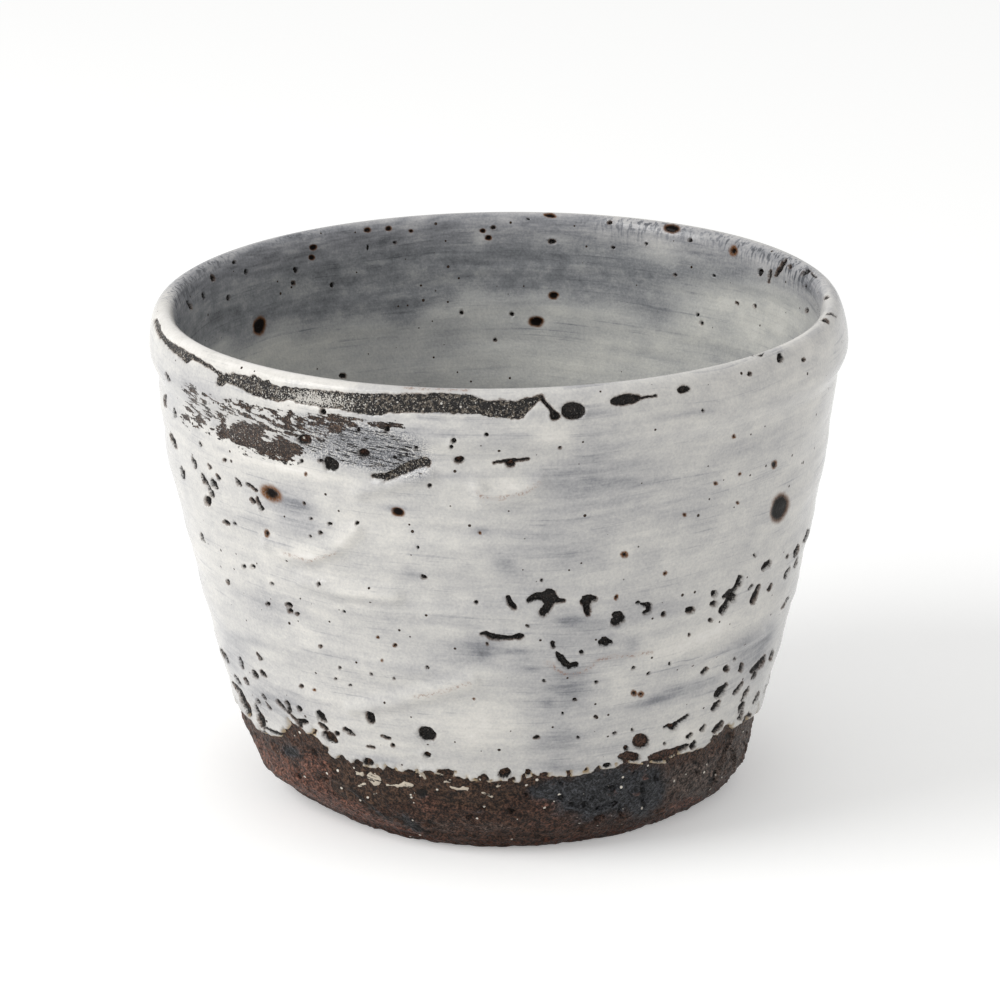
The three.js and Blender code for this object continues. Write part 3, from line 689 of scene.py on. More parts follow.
hiddenHoles, hiddenSpots, hiddenInner = hiddenMarks()
unrolledRadius = 45  # mm, at which strokes round the back are laid flat
hiddenBare = [  # clay left bare round the back: angle from the front, height, half width in mm
    [(104, 62.9, 0.3), (109, 62.5, 0.8), (113, 62.9, 0.5), (119, 62.4, 1.1), (124, 62.6, 1.4),
     (129, 62.2, 0.8), (133, 62.5, 1.2), (139, 62.1, 0.4), (143, 62.3, 0.7), (147, 62, 0.2)],
    [(151, 61.8, 0.4), (153, 61.9, 0.6)], [(-141, 62.2, 0.4), (-138, 62.3, 0.3)],
    [(-133, 62.9, 0.3), (-129, 62.5, 0.9), (-124, 62.8, 0.6), (-119, 62.4, 1.3), (-113, 62.5, 0.8),
     (-108, 62.9, 0.2)],
]
hiddenSkips = [
    [(118, 56, 0.5), (126, 55.5, 1.1), (134, 55, 1.4), (142, 54.6, 0.7)],
    [(122, 51, 0.4), (131, 50.4, 1.0), (139, 50, 0.5)],
    [(-168, 34, 0.3), (-160, 33.6, 0.8), (-152, 33.2, 0.4)],
]


def hiddenAngle(place, middle):  # degrees round from an angle, within half a turn
    return (place.angle - middle + 180) % 360 - 180


def surfaceOvals(place, marks):
    nearest = np.full(len(place.at), farOff)
    width = np.full(len(place.at), 4.0)
    for angle, height, halfWide, halfHigh, tilt in marks:
        across = np.radians(hiddenAngle(place, angle)) * place.radius
        distance, size = ovalDistance(across, place.height - height, [(0.0, 0.0, halfWide, halfHigh, tilt)])
        nearer = distance < nearest
        nearest[nearer] = distance[nearer]
        width[nearer] = size[nearer]
    return nearest, width


def surfaceRing(place, marks):
    ring = np.full(len(place.at), 9.0)
    core = np.full(len(place.at), 0.6)
    size = np.full(len(place.at), 4.0)
    for angle, height, *rest in marks:
        across = np.radians(hiddenAngle(place, angle)) * place.radius
        found = ovalRing(across, place.height - height, [(0.0, 0.0, *rest)])
        nearer = found[0] < ring
        ring[nearer], core[nearer], size[nearer] = [values[nearer] for values in found]
    return ring, core, size


def surfaceStrokes(place, strokes, wobble):
    nearest = np.full(len(place.at), farOff)
    for stroke in strokes:
        middle = stroke[len(stroke) // 2][0]
        flat = [
            (math.radians((angle - middle + 180) % 360 - 180) * unrolledRadius, height, half)
            for angle, height, half in stroke
        ]
        across = np.radians(hiddenAngle(place, middle)) * unrolledRadius + wobble[0]
        nearest = np.minimum(nearest, strokeDistance(across, place.height + wobble[1], [flat]))
    return nearest


def inMm(values, seen):  # a distance in pixels as mm where the photograph shows it, far off elsewhere
    return np.where(seen, values * pixelSize, farOff)


def zoneSum(place, zones):  # soft oval zones of the photograph, added up at each point
    total = np.zeros(len(place.at))
    for x, y, halfWide, halfHigh, tilt, strength in zones:
        c, s = math.cos(math.radians(tilt)), math.sin(math.radians(tilt))
        dx, dy = place.pixelX - x, place.pixelY - y
        ring = ((dx * c + dy * s) / halfWide) ** 2 + ((dy * c - dx * s) / halfHigh) ** 2
        total += strength * np.exp(-ring)
    return total


def surveyLine(place, x, y):  # mm above the lower edge of the outer coat, below zero on the bare foot
    edgeX, edgeY = np.array(glazeEdge, float).T
    line = (np.interp(place.pixelX, edgeX, edgeY) - place.pixelY) * pixelSize * 1.05
    dribble = np.where(place.front, -strokeDistance(x, y, slipDribbles) * pixelSize, -farOff)
    turn = np.radians(place.angle)
    wave = np.cos(2 * turn) - np.cos(4 * turn) + 0.8 * np.sin(3 * turn)
    unseen = place.height - glazeLine["height"] - glazeLine["wave"] * wave
    unseen += 0.9 * grain(place.points, 4.5, 5.0) + 0.5 * np.abs(grain(place.points, 1.9, 6.0))
    side = smooth(np.abs(place.angle), 62, 78)
    line = line * (1 - side) + unseen * side
    bites = np.maximum(grain(place.points, glazeLine["biteSize"], 7.0) - 0.08, 0)
    line = line + 0.1 - glazeLine["bite"] * bites + 0.12 * grain(place.points, 0.6, 9.0)
    line = np.where(place.outside, line, farOff)
    return np.maximum(line, dribble), dribble > line


def surveyMarks(place):  # distances in mm to every kind of mark, below zero inside it
    wobbleX = 0.8 * grain(place.points, 1.1, 1.0) + 0.5 * grain(place.points, 0.45, 3.0)
    wobbleY = 0.8 * grain(place.points, 1.1, 2.0) + 0.5 * grain(place.points, 0.45, 4.0)
    x, y = place.pixelX + wobbleX, place.pixelY + wobbleY
    roughX, roughY = place.pixelX + 2 * wobbleX, place.pixelY + 2 * wobbleY
    front = place.front
    farLip = (place.at > lapAt) & (place.facing > leastFacing) & (place.points[:, 1] > 0)
    within = place.within | farLip
    marks = SimpleNamespace()

    hole, holeWidth = ovalDistance(x, y, [mark for group in glazeHoles.values() for mark in group])
    slit, slitWidth = strokeField(x, y, [stroke for group in holeStrokes.values() for stroke in group])
    inner, innerWidth = ovalDistance(x, y, innerHoles)
    drip, dripWidth = strokeField(x, y, innerDrips)
    back, backWidth = surfaceOvals(place, hiddenHoles)
    deep, deepWidth = surfaceOvals(place, hiddenInner)
    choices = np.array([
        inMm(hole, front),
        inMm(slit, front),
        inMm(inner, within),
        inMm(drip, within),
        np.where(place.outside & (place.at < lapAt), back, farOff),
        np.where(~place.outside & ~(within & (place.pixelY < 390)), deep, farOff),
    ])
    widths = [holeWidth, slitWidth, innerWidth, dripWidth, backWidth / pixelSize, deepWidth / pixelSize]
    widths = np.array(widths) * pixelSize
    marks.hole = choices.min(axis=0)
    marks.width = np.take_along_axis(widths, choices.argmin(axis=0)[None], axis=0)[0]

    rings = [
        (front, ovalRing(x, y, ironSpots), pixelSize),
        (within, ovalRing(x, y, innerIron), pixelSize),
        (place.outside & (place.at < lapAt), surfaceRing(place, hiddenSpots), 1.0),
    ]
    marks.ring = np.full(len(x), 9.0)
    marks.core = np.full(len(x), 0.6)
    marks.ringSize = np.full(len(x), 4.0)
    for seen, (ring, core, size), scale in rings:
        nearer = seen & (ring < marks.ring)
        marks.ring[nearer] = ring[nearer]
        marks.core[nearer] = core[nearer]
        marks.ringSize[nearer] = size[nearer] * scale

    onLip = place.outside & (place.at > lapAt) & (place.facing > leastFacing)
    bare = inMm(strokeDistance(roughX, roughY, bareStrokes), front | onLip)
    skips = inMm(strokeDistance(roughX, roughY, brushSkips), front)
    hatch = inMm(np.maximum(strokeDistance(x, y, hatchedSkips), 0), front) + 0.06
    wobble = 3 * pixelSize * wobbleX, 3 * pixelSize * wobbleY
    backBare = np.where(place.outside, surfaceStrokes(place, hiddenBare, wobble), farOff)
    backSkips = np.where(place.outside, surfaceStrokes(place, hiddenSkips, wobble), farOff)
    marks.bare = np.minimum(bare, backBare)
    marks.skip = np.minimum(np.minimum(skips, backSkips), hatch)
    marks.salt = np.clip(zoneSum(place, saltZones), 0, 1) * front
    marks.seam = inMm(strokeDistance(x, y, rustySeams), front)
    marks.ridge = inMm(strokeDistance(place.pixelX, place.pixelY, slipRidges), front)
    marks.line, marks.dribbled = surveyLine(place, roughX, roughY)

    unseenThin = 0.9 * grain(place.points * [0.4, 0.4, 1.6], 9.0, 8.0)
    behindFront = smooth(np.abs(place.angle), 70, 95)
    shownWell = front * smooth(place.facing, leastFacing, 0.24)
    thinOut = zoneSum(place, slipZones) * shownWell + behindFront * unseenThin
    deepBelow = place.at - crestAt + 3.0 * grain(place.points, 8.0, 10.0)
    greyed = SimpleNamespace(**innerBand)
    band = greyed.strength * smooth(deepBelow, greyed.depth + greyed.fade, greyed.depth)
    begin = greyed.nearFrom + (greyed.farFrom - greyed.nearFrom) * smooth(place.points[:, 1], -14, 10)
    band = band * smooth(place.at - crestAt - begin, 0, greyed.full)
    inside = greyed.overall * smooth(place.at - crestAt, 0, greyed.full)
    inside += zoneSum(place, innerZones) * place.within
    lip = 0.6 * np.exp(-((place.at - crestAt) / 1.8) ** 2)  # thicker, whiter slip on the lip at the left, which also stands in for a painted highlight there
    lip *= smooth(place.points[:, 1], 12, -8) * smooth(place.points[:, 0], -10, -28)
    thinning = np.where(place.outside, thinOut, inside + band + 0.3 * unseenThin) - lip
    marks.thin = np.clip(0.5 + 0.5 * thinning, 0, 1)
    marks.drip = np.clip(zoneSum(place, dripZones), 0, 1) * within
    marks.drip = marks.drip * smooth(place.points[:, 1], -6, 5) * smooth(place.at - crestAt, -0.9, 0.6)
    across = place.pixelX - hairZone["x"]
    down = (place.pixelY - hairZone["y"] - hairZone["slope"] * across) / hairZone["halfHigh"]
    across = across / hairZone["halfWide"]
    marks.hair = np.where(front, smooth(across ** 4 + down ** 4, 1.6, 0.2), 0.0)
    return marks


# tools for modelling
weldDistance = 0.004 * mm


def startPiece(name):
    bpy.ops.object.select_all(action="DESELECT")
    bpy.ops.mesh.primitive_plane_add(size=mm, location=(0, 0, 0))
    piece = bpy.context.object
    piece.name = name
    piece.data.name = name
    return piece


def spinSection(name, radii, heights):  # extrudes a half section from one vertex, then spins it
    piece = startPiece(name)
    bpy.context.tool_settings.mesh_select_mode = (True, False, False)
    bpy.ops.object.mode_set(mode="EDIT")
    bpy.ops.mesh.select_all(action="SELECT")
    bpy.ops.mesh.merge(type="CENTER")
    bpy.ops.transform.translate(value=(radii[0] * mm, 0, heights[0] * mm))
    for i in range(1, len(radii)):
        step = ((radii[i] - radii[i - 1]) * mm, 0, (heights[i] - heights[i - 1]) * mm)
        bpy.ops.mesh.extrude_region_move(TRANSFORM_OT_translate={"value": step})
    bpy.ops.mesh.select_all(action="SELECT")
    bpy.ops.mesh.remove_doubles(threshold=weldDistance)
    bpy.ops.mesh.select_all(action="SELECT")
    bpy.ops.mesh.spin(steps=form.columns, angle=2 * math.pi, center=(0, 0, 0), axis=(0, 0, 1))
    bpy.ops.mesh.select_all(action="SELECT")
    bpy.ops.mesh.remove_doubles(threshold=weldDistance)
    bpy.ops.mesh.normals_make_consistent(inside=False)
    bpy.ops.object.mode_set(mode="OBJECT")
    return piece


def pointsOf(piece):  # vertices in mm
    flat = np.empty(len(piece.data.vertices) * 3)
    piece.data.vertices.foreach_get("co", flat)
    return flat.reshape(-1, 3) / mm


def placePoints(piece, points):
    piece.data.vertices.foreach_set("co", (points * mm).ravel())
    piece.data.update()


def faceMiddles(piece):  # middle in mm and size of each face
    count = len(piece.data.polygons)
    flat = np.empty(count * 3)
    area = np.empty(count)
    piece.data.polygons.foreach_get("center", flat)
    piece.data.polygons.foreach_get("area", area)
    return flat.reshape(-1, 3) / mm, np.sqrt(area) / mm


def subdivideFaces(piece, chosen):
    mesh = piece.data
    totals = np.empty(len(mesh.polygons), int)
    mesh.polygons.foreach_get("loop_total", totals)
    corners = np.repeat(chosen, totals)
    for part, source in ((mesh.vertices, "vertex_index"), (mesh.edges, "edge_index")):
        index = np.empty(len(mesh.loops), int)
        mesh.loops.foreach_get(source, index)
        flags = np.zeros(len(part), bool)
        flags[index[corners]] = True
        part.foreach_set("select", flags)
    mesh.polygons.foreach_set("select", chosen)
    bpy.context.view_layer.objects.active = piece
    bpy.context.tool_settings.mesh_select_mode = (False, False, True)
    bpy.ops.object.mode_set(mode="EDIT")
    bpy.ops.mesh.subdivide(number_cuts=1, smoothness=0, ngon=False)
    bpy.ops.object.mode_set(mode="OBJECT")


def paint(piece, name, values):  # a value for each vertex, which the material reads
    layer = piece.data.attributes.new(name, "FLOAT", "POINT")
    layer.data.foreach_set("value", np.ascontiguousarray(values, np.float32))


def smoothPiece(piece):
    bpy.ops.object.select_all(action="DESELECT")
    piece.select_set(True)
    bpy.context.view_layer.objects.active = piece
    bpy.ops.object.shade_smooth()
    print(piece.name, "faces:", len(piece.data.polygons))


def refineMarks(piece, passes):  # smaller faces along the edges of marks and of the glaze line
    for turn in range(passes):
        middles, size = faceMiddles(piece)
        place = survey(middles)
        marks = surveyMarks(place)
        chosen = (np.abs(marks.hole) < 0.75 * size) & (size > np.clip(0.75 * marks.width, 0.19, 0.34))
        edge = np.minimum(np.abs(marks.ring - 1), np.abs(marks.ring - marks.core)) * marks.ringSize
        chosen |= (edge < 0.75 * size) & (size > np.clip(0.5 * marks.ringSize, 0.19, 0.34))
        chosen |= (np.abs(marks.bare) < 0.8 * size) & (size > 0.34)
        chosen |= (np.abs(marks.skip) < 0.5 * size) & (size > 0.4)
        chosen |= (np.abs(marks.line) < 0.9 * size) & (size > 0.25)
        chosen |= (np.abs(marks.seam) < 0.5 * size) & (size > 0.34)
        chosen &= place.off > 0.1
        subdivideFaces(piece, chosen)


coatRelief = {
    "buried": -0.95,     # below the glaze line the coat is under the clay's face
    "holeDepth": {"outer": 0.7, "inner": 0.42},
    "bareLevel": 0.2,    # clear glaze left over clay that the slip missed
    "skipLevel": 0.3,
    "dribble": 0.2,
    "throwRing": 0.1,    # rings from the potter's fingers
    "brushRidge": 0.12,
    "lumps": 0.08,
    "ridge": 0.6,
    "ironPit": 0.14,
    "tuck": 0.12,        # how fast one coat dives under the other past the lap, per mm
}


def coatThickness(place, marks, side):
    relief = coatRelief
    away = np.where(place.outside, smooth(lapAt - place.at, 1, 6), smooth(place.at - crestAt, 2, 8))
    full = coatDepth(place.at) + relief["lumps"] * grain(place.points, 7.0, 11.0) * away
    full += relief["brushRidge"] * grain(place.points * [0.12, 0.12, 1.0], 1.5, 12.0) * away
    rings = np.sin(place.height * 2 * math.pi / 8.6 + 1.3 * grain(place.points, 26.0, 13.0))
    full += relief["throwRing"] * rings * away * np.where(place.outside, 1.0, 0.5)
    full += relief["ridge"] * np.exp(-(np.maximum(marks.ridge, 0) / 0.48) ** 2) * (marks.ridge < 5)
    edge = marks.line
    cap = np.where(marks.dribbled, relief["dribble"], full)
    body = cap * (1 - np.exp(-np.maximum(edge, 0) / 0.3))
    body += 0.1 * np.exp(-((edge - 0.7) / 0.5) ** 2) * (edge > 0) * ~marks.dribbled
    thick = np.where(edge > 0, body, np.maximum(relief["buried"], 1.1 * edge))
    ironCore = np.clip((marks.core + 0.15 - marks.ring) / 0.3, 0, 1)
    thick = thick - relief["ironPit"] * ironCore * (edge > 0.05)
    width = np.minimum(0.34, 0.75 * marks.width)
    depth = np.minimum(relief["holeDepth"][side], 1.6 * marks.width)
    dip = smooth(-marks.hole, -0.5 * width, 0.6 * width)
    rim = 0.2 * np.exp(-((marks.hole - 0.6 * width) / (0.7 * width)) ** 2)
    thick = thick + depth * (rim - dip) * (edge > 0.05)
    missed = np.minimum(marks.bare, marks.skip)
    dip = smooth(-missed, -0.3, 0.25) * smooth(edge, 0, 0.5)
    level = np.where(marks.bare < marks.skip, relief["bareLevel"], relief["skipLevel"])
    thick = thick * (1 - dip) + dip * np.minimum(thick, level)
    past = place.at - lapAt if side == "outer" else lapAt - place.at
    return thick - relief["tuck"] * np.maximum(past + 0.05, 0) ** 2


def finishCoat(piece, passes, side):
    refineMarks(piece, passes)
    place = survey(pointsOf(piece))
    marks = surveyMarks(place)
    face = place.off > 0.1
    moved = np.where(face, coatThickness(place, marks, side) - coatDepth(place.at), 0.0)
    placePoints(piece, asThrown(place.points + place.normal * moved[:, None]))
    paint(piece, "slip", np.clip(0.5 + np.minimum(marks.hole, marks.bare) / 1.2, 0, 1))
    paint(piece, "pit", (marks.hole < marks.bare) * 1.0)
    broken = np.where(marks.dribbled, np.minimum(marks.skip, 0.16), marks.skip)
    paint(piece, "skip", np.clip(0.5 + broken / 2.2, 0, 1))
    paint(piece, "thin", marks.thin)
    paint(piece, "hair", marks.hair)
    paint(piece, "salt", marks.salt)
    paint(piece, "drip", marks.drip)
    paint(piece, "iron", np.clip((1.14 - marks.ring) / 0.28, 0, 1))
    paint(piece, "core", np.clip((marks.core + 0.15 - marks.ring) / 0.3, 0, 1))
    paint(piece, "seam", np.exp(-np.maximum(marks.seam, 0) / 0.1) * (marks.seam < 2))
    creamy = 0.9 * np.exp(-np.maximum(marks.line - 0.16, 0) / 0.12)
    paint(piece, "edge", np.where(marks.dribbled, 0.5, creamy))
    paint(piece, "inner", smooth(place.at, crestAt + 1, crestAt + 6))
    smoothPiece(piece)


def coatLoop(face, back, deep):  # closes the shown rows of a coat with a few rows inside the clay
    shown = pathPlace(face, coatDepth(face))
    behind = pathPlace(back, -deep)
    return [np.concatenate([front, rear, front[:1]]) for front, rear in zip(shown, behind)]


outerRows = {"from": 5.0, "spacing": 0.66, "past": 1.2, "back": 9, "deep": 1.4}
outerFrom = outsideAt(outerRows["from"])
outerTo = lapAt + outerRows["past"]
outerAt = np.linspace(outerFrom, outerTo, int((outerTo - outerFrom) / outerRows["spacing"]))
outerBack = np.linspace(outerTo, outerFrom, outerRows["back"])
outerSlipCoat = spinSection("outerSlipCoat", *coatLoop(outerAt, outerBack, outerRows["deep"]))
finishCoat(outerSlipCoat, 3, "outer")

innerRows = {
    "past": 1.2, "lip": 0.4, "lipReach": 9.0, "wall": 0.8, "wallReach": 45.0, "floor": 1.6,
    "back": 14, "deep": 0.7,
}
lipTo = crestAt + innerRows["lipReach"]
wallTo = crestAt + innerRows["wallReach"]
innerAt = np.concatenate([
    np.arange(lapAt - innerRows["past"], lipTo, innerRows["lip"]),
    np.arange(lipTo, wallTo, innerRows["wall"]),
    np.linspace(wallTo, endAt, int((endAt - wallTo) / innerRows["floor"])),
])
innerBack = np.linspace(endAt, lapAt - innerRows["past"], innerRows["back"])
innerSlipCoat = spinSection("innerSlipCoat", *coatLoop(innerAt, innerBack, innerRows["deep"]))
finishCoat(innerSlipCoat, 3, "inner")

# foot marks read off the photograph: glassy black runs, cracks, pits, the knife's last cut and colours
footGloss = [
    [(350, 786, 2), (362, 798, 3), (371, 808, 3), (379, 814, 2.6), (388, 817.5, 2)],
    [(388, 815, 1.6), (403, 820, 3), (412, 823.5, 3.4), (420, 829.5, 2.6), (426, 833, 1.6)],
    [(419, 791, 4), (424, 793, 4)], [(284, 748, 2.6), (292, 752, 3), (301, 757, 2.6)],
]
footCracks = [
    [(730.5, 735, 2.4), (726.5, 745, 2.2), (722.5, 755, 2), (720, 763.5, 2.2), (716.5, 771, 2.2),
     (713.5, 781, 3.4), (712, 785, 2.4)],
    [(598, 809, 1.6), (607, 806.5, 1.8), (616, 803, 1.2)], [(596, 820, 1.2), (603, 816.5, 1.4)],
    [(642.5, 785, 1.4), (642.5, 792, 2.2)], [(643.5, 799, 1.2), (643.5, 808, 1.6)],
    [(621, 809, 1.2), (621, 816, 1.6)], [(607, 788, 1.8), (613, 788, 2.4)],
    [(732, 751, 1.4), (732.5, 758, 1.8)], [(734.5, 760, 1), (733, 766, 1.2)],
]
footHoles = [
    (314, 754, 2.6, 5.4, -20), (429.5, 822.5, 3, 2.6, 0), (585, 803.5, 3.4, 3, -30), (561, 798, 3, 2.5, 20),
    (573, 805.5, 4, 1.7, 0), (511, 811, 3.6, 2.2, 20), (470, 817, 3.6, 2, -20), (561.5, 783.5, 2, 2.5, 0),
    (298, 776.5, 2.4, 4, -20), (324, 781, 3, 1.8, 20), (323.5, 767, 2, 2.6, -20),
    (696, 763.5, 2.6, 3.8, 35), (635, 773, 2.2, 1.8, 0), (655.5, 779, 2.4, 2.4, 0), (526, 794.5, 2.6, 2, 0),
    (483, 808, 3.6, 2, 0), (696.5, 772.5, 2, 1.8, 0), (683, 766.5, 1.8, 1.6, 0),
]
footCut = [(330, 776, 0), (345, 785, 0), (363, 798, 0), (388, 818, 0), (424, 834, 0)]
footRust = [
    (300, 785, 46, 16, 33, 0.95), (345, 812, 46, 10, 26, 0.95), (264, 755, 8, 18, -25, 0.7),
    (425, 805, 12, 9, 0, 0.5), (540, 805, 22, 9, 0, 0.5), (547, 824, 30, 7, 0, 0.4),
    (489, 808, 8, 4, 0, 0.4), (395, 831, 40, 6, 14, 0.7), (690, 803, 26, 7, -28, 0.5),
    (318, 764, 18, 9, 30, 0.7), (375, 794, 5, 3, 0, 0.9), (610, 794, 6, 5, 0, 0.35),
    (637, 794, 6, 5, 0, 0.35), (646, 778, 5, 6, 0, 0.4), (678, 805, 14, 5, -20, 0.5),
]
footBlue = [
    (292, 753, 12, 6, 30, 0.7), (545, 790, 20, 9, -10, 0.7), (600, 792, 52, 26, -12, 1.0),
    (648, 795, 14, 24, 15, 0.8), (370, 806, 18, 4, 40, 0.7), (412, 824, 14, 5, 35, 0.7),
    (421, 792, 7, 6, 0, 0.9), (480, 812, 14, 4, 0, 0.35),
]
charredShare = [  # x, how charred the clay is under the glaze line
    (290, 0.25), (345, 1.0), (520, 1.0), (548, 0.15), (660, 0.15), (690, 0.5),
]
footGrey = [
    (700, 780, 34, 26, -25, 0.9), (742, 740, 12, 26, 15, 0.9), (655, 785, 16, 16, 0, 0.4),
    (470, 825, 60, 10, 0, 0.35),
]

clayRows = {"under": 1.0, "foot": 0.42, "footTop": 17.0, "wall": 4.0, "tuck": 0.3}
tuckedFrom = outsideAt(clayRows["footTop"])
clayAt = np.concatenate([
    np.arange(0, ringEdgeAt, clayRows["under"]),
    np.arange(ringEdgeAt, tuckedFrom, clayRows["foot"]),
    np.arange(tuckedFrom, lapAt, clayRows["wall"]),
    np.arange(lapAt, crestAt + 6, 1.0),
    np.linspace(crestAt + 6, endAt, 22),
])
tucked = clayRows["tuck"] * smooth(clayAt, tuckedFrom - 1, tuckedFrom + 1)
clayRadii, clayHeights = pathPlace(clayAt, -tucked)
clayRadii[0] = 0
clayRadii[-1] = 0
clayBody = spinSection("clayBody", clayRadii, clayHeights)


footRelief = {  # mm
    "lumps": 0.2,
    "grains": 0.2,
    "sand": 0.16,
    "drag": 0.14,      # lines that the trimming knife dragged
    "pit": 0.38,
    "crack": 0.5,
    "cut": 0.3,        # step down below the knife's last cut
    "cutEdge": 0.18,
    "trimRing": 0.05,  # turned rings underneath
    "trimGrain": 0.05,
    "hiddenPits": 70,
}


def shapeFoot(piece):
    for turn in range(2):
        middles, size = faceMiddles(piece)
        place = survey(middles)
        seen = place.front & (place.height < 16)
        hole = ovalDistance(place.pixelX, place.pixelY, footHoles)[0] * pixelSize
        gloss = strokeDistance(place.pixelX, place.pixelY, footGloss + footCracks) * pixelSize
        chosen = seen & ((np.abs(hole) < size) | (np.abs(gloss) < 0.8 * size)) & (size > 0.22)
        subdivideFaces(piece, chosen)
    place = survey(pointsOf(piece))
    onFoot = place.outside & (place.at > ringEdgeAt - 2) & (place.height < 17)
    seen = onFoot & place.front
    x = place.pixelX + 1.6 * grain(place.points, 1.1, 1.0) + 1.0 * grain(place.points, 0.45, 3.0)
    y = place.pixelY + 1.6 * grain(place.points, 1.1, 2.0) + 1.0 * grain(place.points, 0.45, 4.0)
    line = surveyLine(place, x, y)[0]
    hole = inMm(ovalDistance(x, y, footHoles)[0], seen)
    gloss = inMm(strokeDistance(x, y, footGloss), seen)
    crack = inMm(strokeDistance(x, y, footCracks), seen)
    draw = random.Random(hiddenSide["seed"] + 1)
    scattered = []
    for i in range(footRelief["hiddenPits"]):
        angle = draw.uniform(72, 288)
        size = 0.25 + 0.5 * draw.random() ** 2
        height = draw.uniform(1.0, 11)
        halfWide = size * draw.uniform(0.8, 2.0)
        scattered.append((angle, height, halfWide, size, draw.uniform(-40, 40)))
    hole = np.minimum(hole, np.where(onFoot, surfaceOvals(place, scattered)[0], farOff))
    grown = smooth(place.at, ringEdgeAt - 1.5, ringEdgeAt + 1.5)
    rough = footRelief["lumps"] * grain(place.points, 2.6, 23.0)
    rough += footRelief["grains"] * grain(place.points, 1.1, 24.0)
    rough += footRelief["sand"] * grain(place.points, 0.5, 25.0)
    drag = footRelief["drag"] * grain(place.points * [0.25, 0.25, 1.0], 0.8, 26.0)
    relief = (rough + drag) * grown * (0.3 + 0.7 * smooth(-line, 0, 1.2))
    relief -= footRelief["pit"] * smooth(-hole, -0.2, 0.25)
    relief -= footRelief["crack"] * smooth(-crack, -0.22, 0.15)
    cut = inMm(strokeDistance(x, y, [footCut], 200.0), seen)
    cutX, cutY = np.array(footCut, float)[:, :2].T
    below = seen & (place.pixelY > np.interp(place.pixelX, cutX, cutY)) & (place.pixelX < cutX[-1])
    relief -= footRelief["cut"] * below * smooth(cut, 0, 0.6) * np.exp(-cut / 6.0) * grown
    relief += footRelief["cutEdge"] * np.exp(-(cut / 0.35) ** 2)
    trim = footRelief["trimRing"] * np.sin(place.radius * 2 * math.pi / 2.4)
    trim += footRelief["trimGrain"] * grain(place.points, 1.4, 27.0)
    underneath = (place.at < ringEdgeAt - 3) & (place.radius < ringInside)
    relief = np.where(onFoot & (line < 0.6), relief, np.where(underneath, trim, 0.0))
    thrown = asThrown(place.points + place.normal * relief[:, None])
    thrown[:, 2] = np.maximum(thrown[:, 2], 0)
    placePoints(piece, thrown)
    hidden = smooth(np.abs(place.angle), 66, 86) * onFoot
    flash = 0.5 + 0.9 * grain(place.points, 13.0, 31.0)
    # black in the glassy runs, and painted shade in the cracks
    paint(piece, "gloss", np.clip(0.5 - np.minimum(gloss, crack) / 0.7, 0, 1))
    # painted shade: the pits on the foot are painted black
    paint(piece, "hole", np.clip(0.5 - hole / 0.5, 0, 1))
    paint(piece, "rust", np.clip(zoneSum(place, footRust) * seen + hidden * flash * 0.5, 0, 1))
    paint(piece, "blue", np.clip(zoneSum(place, footBlue) * seen, 0, 1))
    paint(piece, "grey", np.clip(zoneSum(place, footGrey) * seen + hidden * (0.9 - flash), 0, 1))
    charred = np.where(seen, np.interp(place.pixelX, *np.array(charredShare, float).T), 0.8)
    paint(piece, "near", smooth(line, -2.6, -0.4) * charred * onFoot)
    # a darker red-brown band along the bottom 2 mm of the foot
    paint(piece, "edge", smooth(place.height, 2.0, 0.8) * (place.at > ringEdgeAt - 2))
    smoothPiece(piece)


shapeFoot(clayBody)


# materials
def hexColour(text):  # sRGB hex to linear
    parts = [int(text[i:i + 2], 16) / 255 for i in (0, 2, 4)]
    return [part / 12.92 if part <= 0.04045 else ((part + 0.055) / 1.055) ** 2.4 for part in parts] + [1.0]


def addNode(tree, kind, inputs=None, **settings):
    node = tree.nodes.new(kind)
    for name, value in settings.items():
        setattr(node, name, value)
    for key, value in (inputs or {}).items():
        if isinstance(value, bpy.types.NodeSocket):
            tree.links.new(value, node.inputs[key])
        else:
            node.inputs[key].default_value = value
    return node


def newMaterial(name):
    material = bpy.data.materials.new(name)
    material.use_nodes = True
    material.node_tree.nodes.clear()
    return material, material.node_tree


slipLook = {
    "tones": [  # thin to thick
        (0.0, "626468"), (0.3, "8f9094"), (0.6, "bab9b9"),
        (0.82, "d3d1cd"), (0.96, "e1ded8"), (1.2, "efece7"),
    ],
    "innerTint": "e9ebea",
    # clay in the holes, darkened as painted shade of their depth
    "pitClayInShade": "0b0806",
    "pitGrainInShade": "2b231d",
    "bareClay": "0f0b09",
    "bareGrain": "71685d",
    "skipClay": "271b14",
    "skipGrain": "5c4738",
    # white of the grains on the bare clay, also used for painted glints and glare
    "salt": "cfcbc4",
    # umber round the holes, partly painted soft shade at their rims
    "rim": "5a412e",
    "ironRing": "74481c",
    "ironCore": "0e0907",
    "seam": "8a6450",
    "creamEdge": "bfa883",
    "dust": "33261d",
    "roughness": 0.17,
    "sheen": 0.32,
    "ironSheen": 0.06,  # iron-rich spots dry matt
    "streak": (13.0, 13.0, 1.25),  # sizes along x, y and z in mm
    "dash": (5.2, 5.2, 0.75),
    "mottle": (6.0, 6.0, 3.0),
    "line": (20.0, 20.0, 0.42),
    "hair": (1.5, 1.5, 0.16),
    "tear": (2.4, 2.4, 0.55),
    "cloud": (2.6, 2.6, 2.2),
    "drip": (0.5, 0.5, 5.0),
    "grit": (0.34, 0.34, 0.34),
    "saltGrain": (0.2, 0.2, 0.2),
    "clayGrain": (0.4, 0.4, 0.4),
    "hairTilt": 8.0,
}


